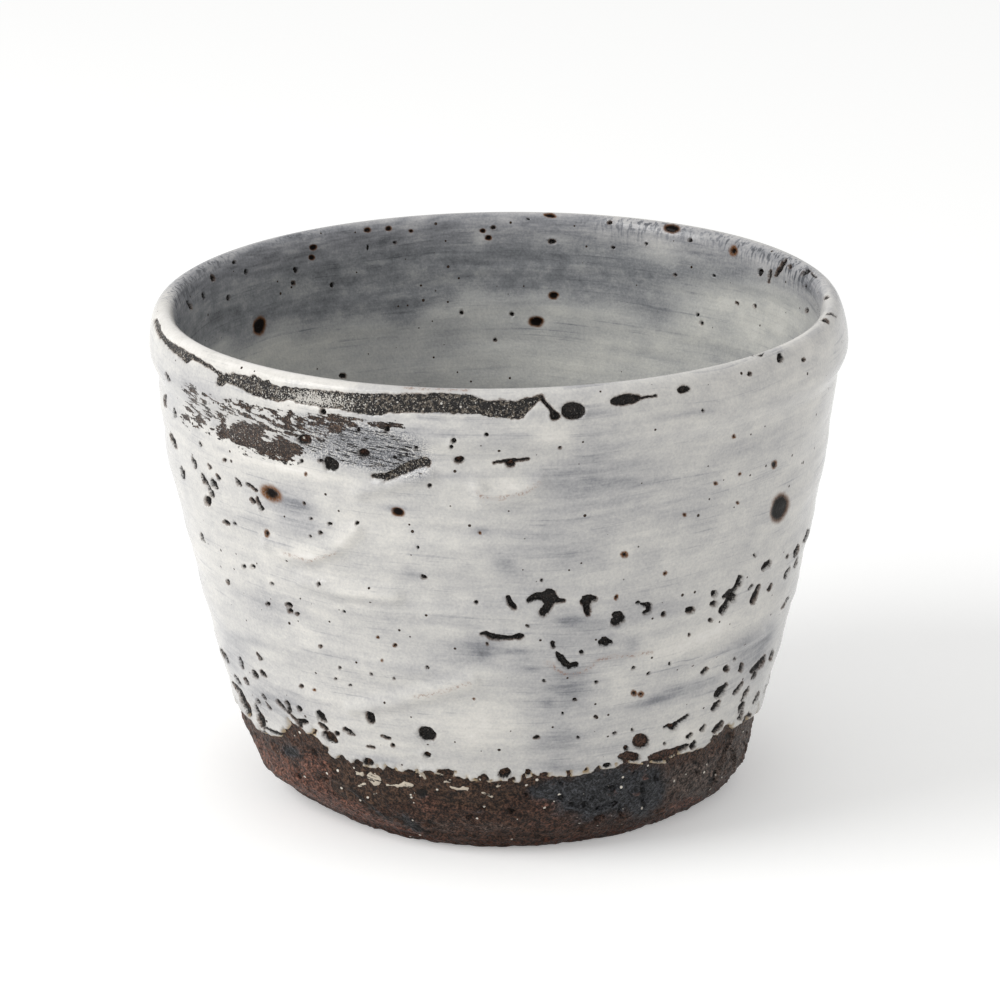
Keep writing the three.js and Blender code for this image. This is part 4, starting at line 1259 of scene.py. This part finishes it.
# brushed white slip under clear feldspar glaze: glossy, mottled, streaked grey where the brush left it thin
def slipUnderGlaze():
    look = slipLook
    colours = {name: hexColour(value) for name, value in look.items() if isinstance(value, str)}
    material, tree = newMaterial("slipUnderClearGlaze")
    place = addNode(tree, "ShaderNodeTexCoord").outputs["Object"]
    slip, pit, skip, thin, hair, salt, drip, iron, core, seam, edge, inner = [
        addNode(tree, "ShaderNodeAttribute", attribute_name=name).outputs["Fac"]
        for name in (
            "slip", "pit", "skip", "thin", "hair", "salt", "drip", "iron", "core", "seam", "edge", "inner")
    ]

    # brush marks run round the cup and sway a little
    sway = addNode(tree, "ShaderNodeTexNoise", {"Vector": place, "Scale": 1 / (30 * mm), "Detail": 1.0})
    lift = addNode(
        tree, "ShaderNodeMath", {0: sway.outputs["Fac"], 1: 3 * mm}, operation="MULTIPLY").outputs[0]
    shift = addNode(tree, "ShaderNodeCombineXYZ", {"Z": lift}).outputs[0]
    swept = addNode(tree, "ShaderNodeVectorMath", {0: place, 1: shift}, operation="ADD").outputs[0]
    patterns = {}
    for name, source, tilt, detail in (
        ("streak", swept, 0.0, 3.0), ("dash", swept, 0.0, 2.0), ("mottle", place, 0.0, 5.0),
        ("line", swept, 0.0, 2.0), ("hair", place, look["hairTilt"], 2.0),
        ("tear", place, look["hairTilt"], 2.0), ("drip", place, 0.0, 1.0), ("cloud", swept, 0.0, 4.0),
        ("grit", place, 0.0, 2.0), ("saltGrain", place, 0.0, 2.0), ("clayGrain", place, 0.0, 3.0),
    ):
        mapped = addNode(tree, "ShaderNodeMapping", {
            "Vector": source, "Rotation": (0, math.radians(tilt), 0),
            "Scale": tuple(size * mm for size in look[name]),
        }, vector_type="TEXTURE").outputs[0]
        pattern = addNode(tree, "ShaderNodeTexNoise", {
            "Vector": mapped, "Scale": 1.0, "Detail": detail, "Roughness": 0.62})
        patterns[name] = pattern.outputs["Fac"]
    streak, dash, mottle, line, strand, tear, dripping = list(patterns.values())[:7]
    cloud, grit, saltGrain, clayGrain = list(patterns.values())[7:]

    # how much slip the brush left
    thinner = addNode(
        tree, "ShaderNodeMath", {0: thin, 1: 2.0, 2: -1.0}, operation="MULTIPLY_ADD").outputs[0]
    clouded = addNode(
        tree, "ShaderNodeMath", {0: inner, 1: 0.4, 2: 0.35}, operation="MULTIPLY_ADD").outputs[0]
    brushed = addNode(tree, "ShaderNodeMix", {0: clouded, 2: dash, 3: cloud}, data_type="FLOAT").outputs[0]
    brushed = addNode(
        tree, "ShaderNodeMath", {0: brushed, 1: 1.4, 2: -0.15}, operation="MULTIPLY_ADD").outputs[0]
    loss = addNode(tree, "ShaderNodeMath", {0: thinner, 1: brushed}, operation="MULTIPLY").outputs[0]
    tone = addNode(
        tree, "ShaderNodeMath", {0: streak, 1: 0.34, 2: 0.05}, operation="MULTIPLY_ADD").outputs[0]
    tone = addNode(
        tree, "ShaderNodeMath", {0: mottle, 1: 0.5, 2: tone}, operation="MULTIPLY_ADD").outputs[0]
    tone = addNode(
        tree, "ShaderNodeMath", {0: cloud, 1: 0.28, 2: tone}, operation="MULTIPLY_ADD").outputs[0]
    tone = addNode(
        tree, "ShaderNodeMath", {0: grit, 1: 0.38, 2: tone}, operation="MULTIPLY_ADD").outputs[0]
    tone = addNode(tree, "ShaderNodeMath", {0: tone, 1: loss}, operation="SUBTRACT").outputs[0]
    score = addNode(tree, "ShaderNodeMapRange", {
        "Value": line, "From Min": 0.28, "From Max": 0.42, "To Min": 0.22, "To Max": 0.0}).outputs[0]
    bared = addNode(
        tree, "ShaderNodeMapRange", {"Value": mottle, "From Min": 0.58, "From Max": 0.44}).outputs[0]
    scored = addNode(tree, "ShaderNodeMath", {0: score, 1: bared}, operation="MULTIPLY").outputs[0]
    tone = addNode(tree, "ShaderNodeMath", {0: tone, 1: scored}, operation="SUBTRACT").outputs[0]
    runs = addNode(tree, "ShaderNodeMapRange", {
        "Value": dripping, "From Min": 0.52, "From Max": 0.38, "To Min": 0.0, "To Max": 0.7}).outputs[0]
    runs = addNode(tree, "ShaderNodeMath", {0: drip, 1: runs}, operation="MULTIPLY").outputs[0]
    tone = addNode(tree, "ShaderNodeMath", {0: tone, 1: runs}, operation="SUBTRACT").outputs[0]
    frost = addNode(tree, "ShaderNodeMapRange", {
        "Value": saltGrain, "From Min": 0.35, "From Max": 0.65, "To Min": -0.5, "To Max": 0.3}).outputs[0]
    tone = addNode(
        tree, "ShaderNodeMath", {0: hair, 1: frost, 2: tone}, operation="MULTIPLY_ADD").outputs[0]
    thickest = look["tones"][-1][0]
    spread = addNode(tree, "ShaderNodeMapRange", {"Value": tone, "From Max": thickest}).outputs[0]
    ramp = addNode(tree, "ShaderNodeValToRGB", {"Fac": spread})
    stops = ramp.color_ramp.elements
    while len(stops) < len(look["tones"]):
        stops.new(0.5)
    for stop, (position, colour) in zip(stops, look["tones"]):
        stop.position = position / thickest
        stop.color = hexColour(colour)
    body = addNode(tree, "ShaderNodeMix", {0: inner, 6: ramp.outputs[0], 7: colours["innerTint"]},
                   data_type="RGBA", blend_type="MULTIPLY").outputs[2]
    body = addNode(
        tree, "ShaderNodeMix", {0: edge, 6: body, 7: colours["creamEdge"]}, data_type="RGBA").outputs[2]
    specks = addNode(tree, "ShaderNodeMapRange", {
        "Value": grit, "From Min": 0.5, "From Max": 0.58, "To Min": 0.1, "To Max": 0.7}).outputs[0]
    specks = addNode(tree, "ShaderNodeMath", {0: seam, 1: specks}, operation="MULTIPLY").outputs[0]
    body = addNode(
        tree, "ShaderNodeMix", {0: specks, 6: body, 7: colours["seam"]}, data_type="RGBA").outputs[2]

    # where the slip is missing: smooth holes, ragged brush skips and hair streaks
    torn = addNode(tree, "ShaderNodeMath", {0: grit, 1: 0.5, 2: -1.0}, operation="MULTIPLY_ADD").outputs[0]
    torn = addNode(tree, "ShaderNodeMath", {0: tear, 1: 1.5, 2: torn}, operation="MULTIPLY_ADD").outputs[0]
    ragged = addNode(
        tree, "ShaderNodeMath", {0: torn, 1: 0.9, 2: skip}, operation="MULTIPLY_ADD").outputs[0]
    combed = addNode(
        tree, "ShaderNodeMath", {0: hair, 1: -0.44, 2: strand}, operation="MULTIPLY_ADD").outputs[0]
    combed = addNode(
        tree, "ShaderNodeMapRange", {"Value": combed, "From Min": -0.05, "From Max": 0.04}).outputs[0]
    worn = addNode(tree, "ShaderNodeMath", {0: slip, 1: 0.1}, operation="SUBTRACT").outputs[0]
    worn = addNode(tree, "ShaderNodeMath", {0: grit, 1: 0.2, 2: worn}, operation="MULTIPLY_ADD").outputs[0]
    least = addNode(tree, "ShaderNodeMath", {0: worn, 1: ragged}, operation="MINIMUM").outputs[0]
    least = addNode(tree, "ShaderNodeMath", {0: least, 1: combed}, operation="MINIMUM").outputs[0]
    covered = addNode(
        tree, "ShaderNodeMapRange", {"Value": least, "From Min": 0.46, "From Max": 0.54}).outputs[0]

    # umber stain round the holes, partly painted soft shade at their rims, and iron spots that bleed from a
    # black core to an orange ring
    stainAndRimShade = addNode(tree, "ShaderNodeMapRange", {
        "Value": worn, "From Min": 0.52, "From Max": 0.65, "To Min": 0.85, "To Max": 0.0}).outputs[0]
    patchy = addNode(
        tree, "ShaderNodeMapRange", {"Value": mottle, "From Min": 0.42, "From Max": 0.58}).outputs[0]
    stainAndRimShade = addNode(tree, "ShaderNodeMath", {0: stainAndRimShade, 1: patchy}, operation="MULTIPLY").outputs[0]
    body = addNode(
        tree, "ShaderNodeMix", {0: stainAndRimShade, 6: body, 7: colours["rim"]}, data_type="RGBA").outputs[2]
    bleed = addNode(tree, "ShaderNodeMapRange", {
        "Value": grit, "From Min": 0.3, "From Max": 0.5, "To Min": 0.6, "To Max": 1.0}).outputs[0]
    bleed = addNode(tree, "ShaderNodeMath", {0: iron, 1: bleed}, operation="MULTIPLY").outputs[0]
    body = addNode(
        tree, "ShaderNodeMix", {0: bleed, 6: body, 7: colours["ironRing"]}, data_type="RGBA").outputs[2]
    body = addNode(
        tree, "ShaderNodeMix", {0: core, 6: body, 7: colours["ironCore"]}, data_type="RGBA").outputs[2]

    # dark clay seen through clear glaze, with painted shade that makes it blackest just inside the edge of
    # a hole and darkens the whole hole; browner where the brush skipped
    grains = addNode(
        tree, "ShaderNodeMapRange", {"Value": clayGrain, "From Min": 0.5, "From Max": 0.61}).outputs[0]
    # painted shade: black just inside a hole's edge, with grain showing only deeper in
    deep = addNode(
        tree, "ShaderNodeMapRange", {"Value": slip, "From Min": 0.48, "From Max": 0.3}).outputs[0]
    deep = addNode(tree, "ShaderNodeMath", {0: grains, 1: deep}, operation="MULTIPLY").outputs[0]
    pitClayAndShade = addNode(tree, "ShaderNodeMix", {0: deep, 6: colours["pitClayInShade"], 7: colours["pitGrainInShade"]},
                     data_type="RGBA").outputs[2]
    bare = addNode(tree, "ShaderNodeMix", {0: grains, 6: colours["bareClay"], 7: colours["bareGrain"]},
                   data_type="RGBA").outputs[2]
    skipped = addNode(tree, "ShaderNodeMix", {0: grains, 6: colours["skipClay"], 7: colours["skipGrain"]},
                      data_type="RGBA").outputs[2]
    # painted glints: small white dots scattered over the bare clay
    paintedGlintCells = addNode(
        tree, "ShaderNodeTexVoronoi", {"Vector": place, "Scale": 1 / (1.5 * mm)}).outputs["Distance"]
    paintedGlint = addNode(tree, "ShaderNodeMath", {0: paintedGlintCells, 1: 0.1}, operation="LESS_THAN").outputs[0]
    bare = addNode(
        tree, "ShaderNodeMix", {0: paintedGlint, 6: bare, 7: colours["salt"]}, data_type="RGBA").outputs[2]
    clay = addNode(tree, "ShaderNodeMix", {0: pit, 6: bare, 7: pitClayAndShade}, data_type="RGBA").outputs[2]
    inSkip = addNode(
        tree, "ShaderNodeMapRange", {"Value": skip, "From Min": 0.62, "From Max": 0.5}).outputs[0]
    offHole = addNode(
        tree, "ShaderNodeMapRange", {"Value": slip, "From Min": 0.5, "From Max": 0.54}).outputs[0]
    inSkip = addNode(tree, "ShaderNodeMath", {0: inSkip, 1: offHole}, operation="MULTIPLY").outputs[0]
    clay = addNode(tree, "ShaderNodeMix", {0: inSkip, 6: clay, 7: skipped}, data_type="RGBA").outputs[2]
    # white grains on the bare clay; where the zones are strong they stand in for a painted glare highlight
    salted = addNode(
        tree, "ShaderNodeMath", {0: salt, 1: 0.3, 2: saltGrain}, operation="MULTIPLY_ADD").outputs[0]
    salted = addNode(
        tree, "ShaderNodeMapRange", {"Value": salted, "From Min": 0.62, "From Max": 0.7}).outputs[0]
    inPit = addNode(tree, "ShaderNodeMapRange", {"Value": pit, "To Min": 1.0, "To Max": 0.25}).outputs[0]
    salted = addNode(tree, "ShaderNodeMath", {0: salted, 1: inPit}, operation="MULTIPLY").outputs[0]
    clay = addNode(
        tree, "ShaderNodeMix", {0: salted, 6: clay, 7: colours["salt"]}, data_type="RGBA").outputs[2]
    colour = addNode(tree, "ShaderNodeMix", {0: covered, 6: clay, 7: body}, data_type="RGBA").outputs[2]

    # pinholes and iron dust too small to model one by one
    dots = addNode(
        tree, "ShaderNodeTexVoronoi", {"Vector": place, "Scale": 1 / (1.8 * mm), "Randomness": 1.0})
    rare = addNode(tree, "ShaderNodeSeparateColor", {0: dots.outputs["Color"]}).outputs[0]
    size = addNode(tree, "ShaderNodeMapRange", {
        "Value": rare, "From Min": 0.3, "From Max": 1.0, "To Min": 0.0, "To Max": 0.13}).outputs[0]
    dot = addNode(
        tree, "ShaderNodeMath", {0: dots.outputs["Distance"], 1: size}, operation="LESS_THAN").outputs[0]
    dusted = addNode(
        tree, "ShaderNodeMix", {0: dot, 6: colour, 7: colours["dust"]}, data_type="RGBA").outputs[2]

    # gloss all over, with fine brush ridges, and a coarser skin where the clay is only glazed
    skin = addNode(tree, "ShaderNodeMapRange", {"Value": covered, "To Min": 2.6, "To Max": 0.0}).outputs[0]
    ridge = addNode(
        tree, "ShaderNodeMath", {0: saltGrain, 1: skin, 2: grit}, operation="MULTIPLY_ADD").outputs[0]
    ridge = addNode(
        tree, "ShaderNodeMath", {0: streak, 1: 1.6, 2: ridge}, operation="MULTIPLY_ADD").outputs[0]
    strength = addNode(
        tree, "ShaderNodeMath", {0: covered, 1: -0.6, 2: 1.0}, operation="MULTIPLY_ADD").outputs[0]
    bump = addNode(
        tree, "ShaderNodeBump", {"Height": ridge, "Strength": strength, "Distance": 0.09 * mm}).outputs[0]
    gloss = addNode(tree, "ShaderNodeMapRange", {
        "Value": mottle, "To Min": look["roughness"] - 0.06, "To Max": look["roughness"] + 0.1}).outputs[0]
    sheen = addNode(tree, "ShaderNodeMapRange", {
        "Value": core, "To Min": look["sheen"], "To Max": look["ironSheen"]}).outputs[0]
    shader = addNode(tree, "ShaderNodeBsdfPrincipled", {
        "Base Color": dusted, "Roughness": gloss, "IOR": 1.5, "Specular IOR Level": sheen, "Normal": bump})
    addNode(tree, "ShaderNodeOutputMaterial", {"Surface": shader.outputs[0]})
    return material


clayLook = {
    "brown": "3f2c23",
    "rust": "5e4035",
    "blue": "313235",
    "grey": "4f443e",
    "near": "3c2c22",
    "black": "0a0908",
    "grogAndGlint": "ece5d9",
    "edge": "3d2318",
    "roughness": 0.5,
}


# iron-rich stoneware fired bare: gritty, flashed rust red in places, charred and glassy near the glaze
def firedStoneware():
    look = clayLook
    material, tree = newMaterial("bareFiredStoneware")
    place = addNode(tree, "ShaderNodeTexCoord").outputs["Object"]
    gloss, hole, rust, blue, grey, near, edge = [
        addNode(tree, "ShaderNodeAttribute", attribute_name=name).outputs["Fac"]
        for name in ("gloss", "hole", "rust", "blue", "grey", "near", "edge")
    ]
    cloud, grit, sand = [
        addNode(tree, "ShaderNodeTexNoise", {
            "Vector": place, "Scale": 1 / (size * mm), "Detail": detail, "Roughness": 0.6}).outputs["Fac"]
        for size, detail in ((3.2, 4.0), (0.65, 3.0), (0.32, 1.0))
    ]

    # patches of colour from the kiln, and a darker band along the bottom 2 mm of the foot, grainy where
    # they meet
    shaken = addNode(
        tree, "ShaderNodeMath", {0: cloud, 1: 1.5, 2: -1.3}, operation="MULTIPLY_ADD").outputs[0]
    shaken = addNode(
        tree, "ShaderNodeMath", {0: grit, 1: 1.1, 2: shaken}, operation="MULTIPLY_ADD").outputs[0]
    colour = hexColour(look["brown"])
    for name, source in (("grey", grey), ("blue", blue), ("rust", rust), ("edge", edge), ("near", near)):
        pushed = addNode(
            tree, "ShaderNodeMath", {0: source, 1: 1.6, 2: shaken}, operation="MULTIPLY_ADD").outputs[0]
        share = addNode(
            tree, "ShaderNodeMapRange", {"Value": pushed, "From Min": 0.4, "From Max": 0.95}).outputs[0]
        colour = addNode(tree, "ShaderNodeMix", {0: share, 6: colour, 7: hexColour(look[name])},
                         data_type="RGBA").outputs[2]
    speckle = addNode(tree, "ShaderNodeMapRange", {
        "Value": grit, "From Min": 0.37, "From Max": 0.63, "To Min": 0.4, "To Max": 1.65}).outputs[0]
    colour = addNode(tree, "ShaderNodeMix", {0: 1.0, 6: colour, 7: speckle},
                     data_type="RGBA", blend_type="MULTIPLY").outputs[2]
    speckle = addNode(tree, "ShaderNodeMapRange", {
        "Value": sand, "From Min": 0.4, "From Max": 0.6, "To Min": 0.35, "To Max": 1.8}).outputs[0]
    colour = addNode(tree, "ShaderNodeMix", {0: 1.0, 6: colour, 7: speckle},
                     data_type="RGBA", blend_type="MULTIPLY").outputs[2]

    # glassy black runs, painted shade that blackens pits and cracks, and pale grog specks, some of them
    # painted glints
    broken = addNode(
        tree, "ShaderNodeMath", {0: grit, 1: 0.9, 2: -0.45}, operation="MULTIPLY_ADD").outputs[0]
    blackRunsAndPitShade = addNode(tree, "ShaderNodeMath", {0: hole, 1: broken}, operation="ADD").outputs[0]
    blackRunsAndPitShade = addNode(tree, "ShaderNodeMath", {0: gloss, 1: blackRunsAndPitShade}, operation="MAXIMUM").outputs[0]
    pocks = addNode(
        tree, "ShaderNodeTexVoronoi", {"Vector": place, "Scale": 1 / (0.7 * mm)}).outputs["Distance"]
    pocks = addNode(
        tree, "ShaderNodeMapRange", {"Value": pocks, "From Min": 0.3, "From Max": 0.12}).outputs[0]
    blackRunsAndPitShade = addNode(tree, "ShaderNodeMath", {0: pocks, 1: blackRunsAndPitShade}, operation="MAXIMUM").outputs[0]
    blackRunsAndPitShade = addNode(tree, "ShaderNodeMapRange", {
        "Value": blackRunsAndPitShade, "From Min": 0.5, "From Max": 0.85, "To Max": 0.85}).outputs[0]
    colour = addNode(tree, "ShaderNodeMix", {0: blackRunsAndPitShade, 6: colour, 7: hexColour(look["black"])},
                     data_type="RGBA").outputs[2]
    # pale grog specks, brighter and more often in the glassy zones, where they also stand in for painted
    # glints
    grains = addNode(tree, "ShaderNodeTexVoronoi", {"Vector": place, "Scale": 1 / (1.4 * mm)})
    rare = addNode(tree, "ShaderNodeSeparateColor", {0: grains.outputs["Color"]}).outputs[1]
    often = addNode(tree, "ShaderNodeMath", {0: blue, 1: near}, operation="MAXIMUM").outputs[0]
    rare = addNode(
        tree, "ShaderNodeMath", {0: often, 1: 0.25, 2: rare}, operation="MULTIPLY_ADD").outputs[0]
    size = addNode(tree, "ShaderNodeMapRange", {
        "Value": rare, "From Min": 0.5, "From Max": 1.0, "To Min": 0.0, "To Max": 0.15}).outputs[0]
    grogAndGlintSpeck = addNode(
        tree, "ShaderNodeMath", {0: grains.outputs["Distance"], 1: size}, operation="LESS_THAN").outputs[0]
    colour = addNode(tree, "ShaderNodeMix", {0: grogAndGlintSpeck, 6: colour, 7: hexColour(look["grogAndGlint"])},
                     data_type="RGBA").outputs[2]

    # rough bare grain, glassy where it ran
    glassy = addNode(tree, "ShaderNodeMath", {0: blackRunsAndPitShade, 1: blue}, operation="MAXIMUM").outputs[0]
    shine = addNode(tree, "ShaderNodeMapRange", {
        "Value": glassy, "To Min": look["roughness"], "To Max": 0.32}).outputs[0]
    height = addNode(
        tree, "ShaderNodeMath", {0: sand, 1: 0.5, 2: grit}, operation="MULTIPLY_ADD").outputs[0]
    bump = addNode(
        tree, "ShaderNodeBump", {"Height": height, "Strength": 1.0, "Distance": 0.6 * mm}).outputs[0]
    shader = addNode(tree, "ShaderNodeBsdfPrincipled", {
        "Base Color": colour, "Roughness": shine, "IOR": 1.5, "Specular IOR Level": 0.22, "Normal": bump})
    addNode(tree, "ShaderNodeOutputMaterial", {"Surface": shader.outputs[0]})
    return material


glazed = slipUnderGlaze()
bareClay = firedStoneware()
for piece, node, slotName, material in (
    (clayBody, "clay_body", "stoneware", bareClay),
    (innerSlipCoat, "inner_slip_coat", "inner_slip", glazed),
    (outerSlipCoat, "outer_slip_coat", "outer_slip", glazed),
):
    piece.data.materials.clear()
    piece.data.materials.append(material)
    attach(piece, "root")
    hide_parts(node)
print("materials set")

# studio: pale floor, plain surround, one soft light from the left
studio = {
    "floorRadius": 3.0,
    "floorInset": 2.5,      # the floor is open under the cup, this many mm inside the foot's edge
    "floor": "f5f5f4",
    "floorLift": 0.26,      # makes the floor near white to the camera and in reflections only
    "surround": 0.65,
    "keyPower": 3.6,
    "keySize": 0.5,
    "keyPlace": (-0.6, -0.26, 0.56),
    "keyAim": (0, 0, 0.035),
}
bpy.ops.object.select_all(action="DESELECT")
floorHole = (np.interp(ringEdgeAt, pathAt, pathPoints[:, 0]) - studio["floorInset"]) * mm
bpy.ops.mesh.primitive_circle_add(vertices=128, radius=floorHole, location=(0, 0, 0))
floor = bpy.context.object
floor.name = "studioFloor"
floorGrow = studio["floorRadius"] / floorHole
bpy.ops.object.mode_set(mode="EDIT")
bpy.ops.mesh.select_all(action="SELECT")
bpy.ops.mesh.extrude_edges_move()
bpy.ops.transform.resize(value=(floorGrow, floorGrow, 1))
bpy.ops.object.mode_set(mode="OBJECT")
if floor.data.polygons[0].normal.z < 0:
    floor.data.flip_normals()
floorPaint, floorTree = newMaterial("palePaperFloor")
floorRays = addNode(floorTree, "ShaderNodeLightPath").outputs
floorSeen = addNode(floorTree, "ShaderNodeMath", {
    0: floorRays["Is Camera Ray"], 1: floorRays["Is Glossy Ray"]}, operation="MAXIMUM").outputs[0]
floorSeen = addNode(floorTree, "ShaderNodeMath", {
    0: floorSeen, 1: floorRays["Is Transmission Ray"]}, operation="MAXIMUM").outputs[0]
floorLift = addNode(
    floorTree, "ShaderNodeMath", {0: floorSeen, 1: studio["floorLift"]}, operation="MULTIPLY").outputs[0]
floorShader = addNode(floorTree, "ShaderNodeBsdfPrincipled", {
    "Base Color": hexColour(studio["floor"]), "Roughness": 0.9, "Specular IOR Level": 0.0,
    "Emission Color": (1, 1, 1, 1), "Emission Strength": floorLift})
fromBelow = addNode(floorTree, "ShaderNodeNewGeometry").outputs["Backfacing"]
clear = addNode(floorTree, "ShaderNodeBsdfTransparent").outputs[0]
floorMix = addNode(floorTree, "ShaderNodeMixShader", {0: fromBelow, 1: floorShader.outputs[0], 2: clear})
addNode(floorTree, "ShaderNodeOutputMaterial", {"Surface": floorMix.outputs[0]})
floor.data.materials.append(floorPaint)

world = bpy.data.worlds.new("plainSurround")
bpy.context.scene.world = world
world.use_nodes = True
world.node_tree.nodes.clear()
surround = addNode(
    world.node_tree, "ShaderNodeBackground", {"Color": (1, 1, 1, 1), "Strength": studio["surround"]})
addNode(world.node_tree, "ShaderNodeOutputWorld", {"Surface": surround.outputs[0]})

bpy.ops.object.light_add(type="AREA", location=studio["keyPlace"])
key = bpy.context.object
key.name = "softKey"
key.data.shape = "DISK"
key.data.size = studio["keySize"]
key.data.energy = studio["keyPower"]
key.rotation_euler = (Vector(studio["keyAim"]) - key.location).to_track_quat("-Z", "Y").to_euler()

bpy.ops.object.camera_add(location=tuple(cameraPlace * mm), rotation=(math.pi / 2 - lookTilt, 0, 0))
camera = bpy.context.object
camera.name = "photoCamera"
camera.data.sensor_width = viewPoint["sensor"]
camera.data.lens = viewPoint["focalPixels"] / viewPoint["picture"] * viewPoint["sensor"]
camera.data.clip_start = 0.01
bpy.context.scene.camera = camera
bpy.context.scene.view_settings.view_transform = "Standard"
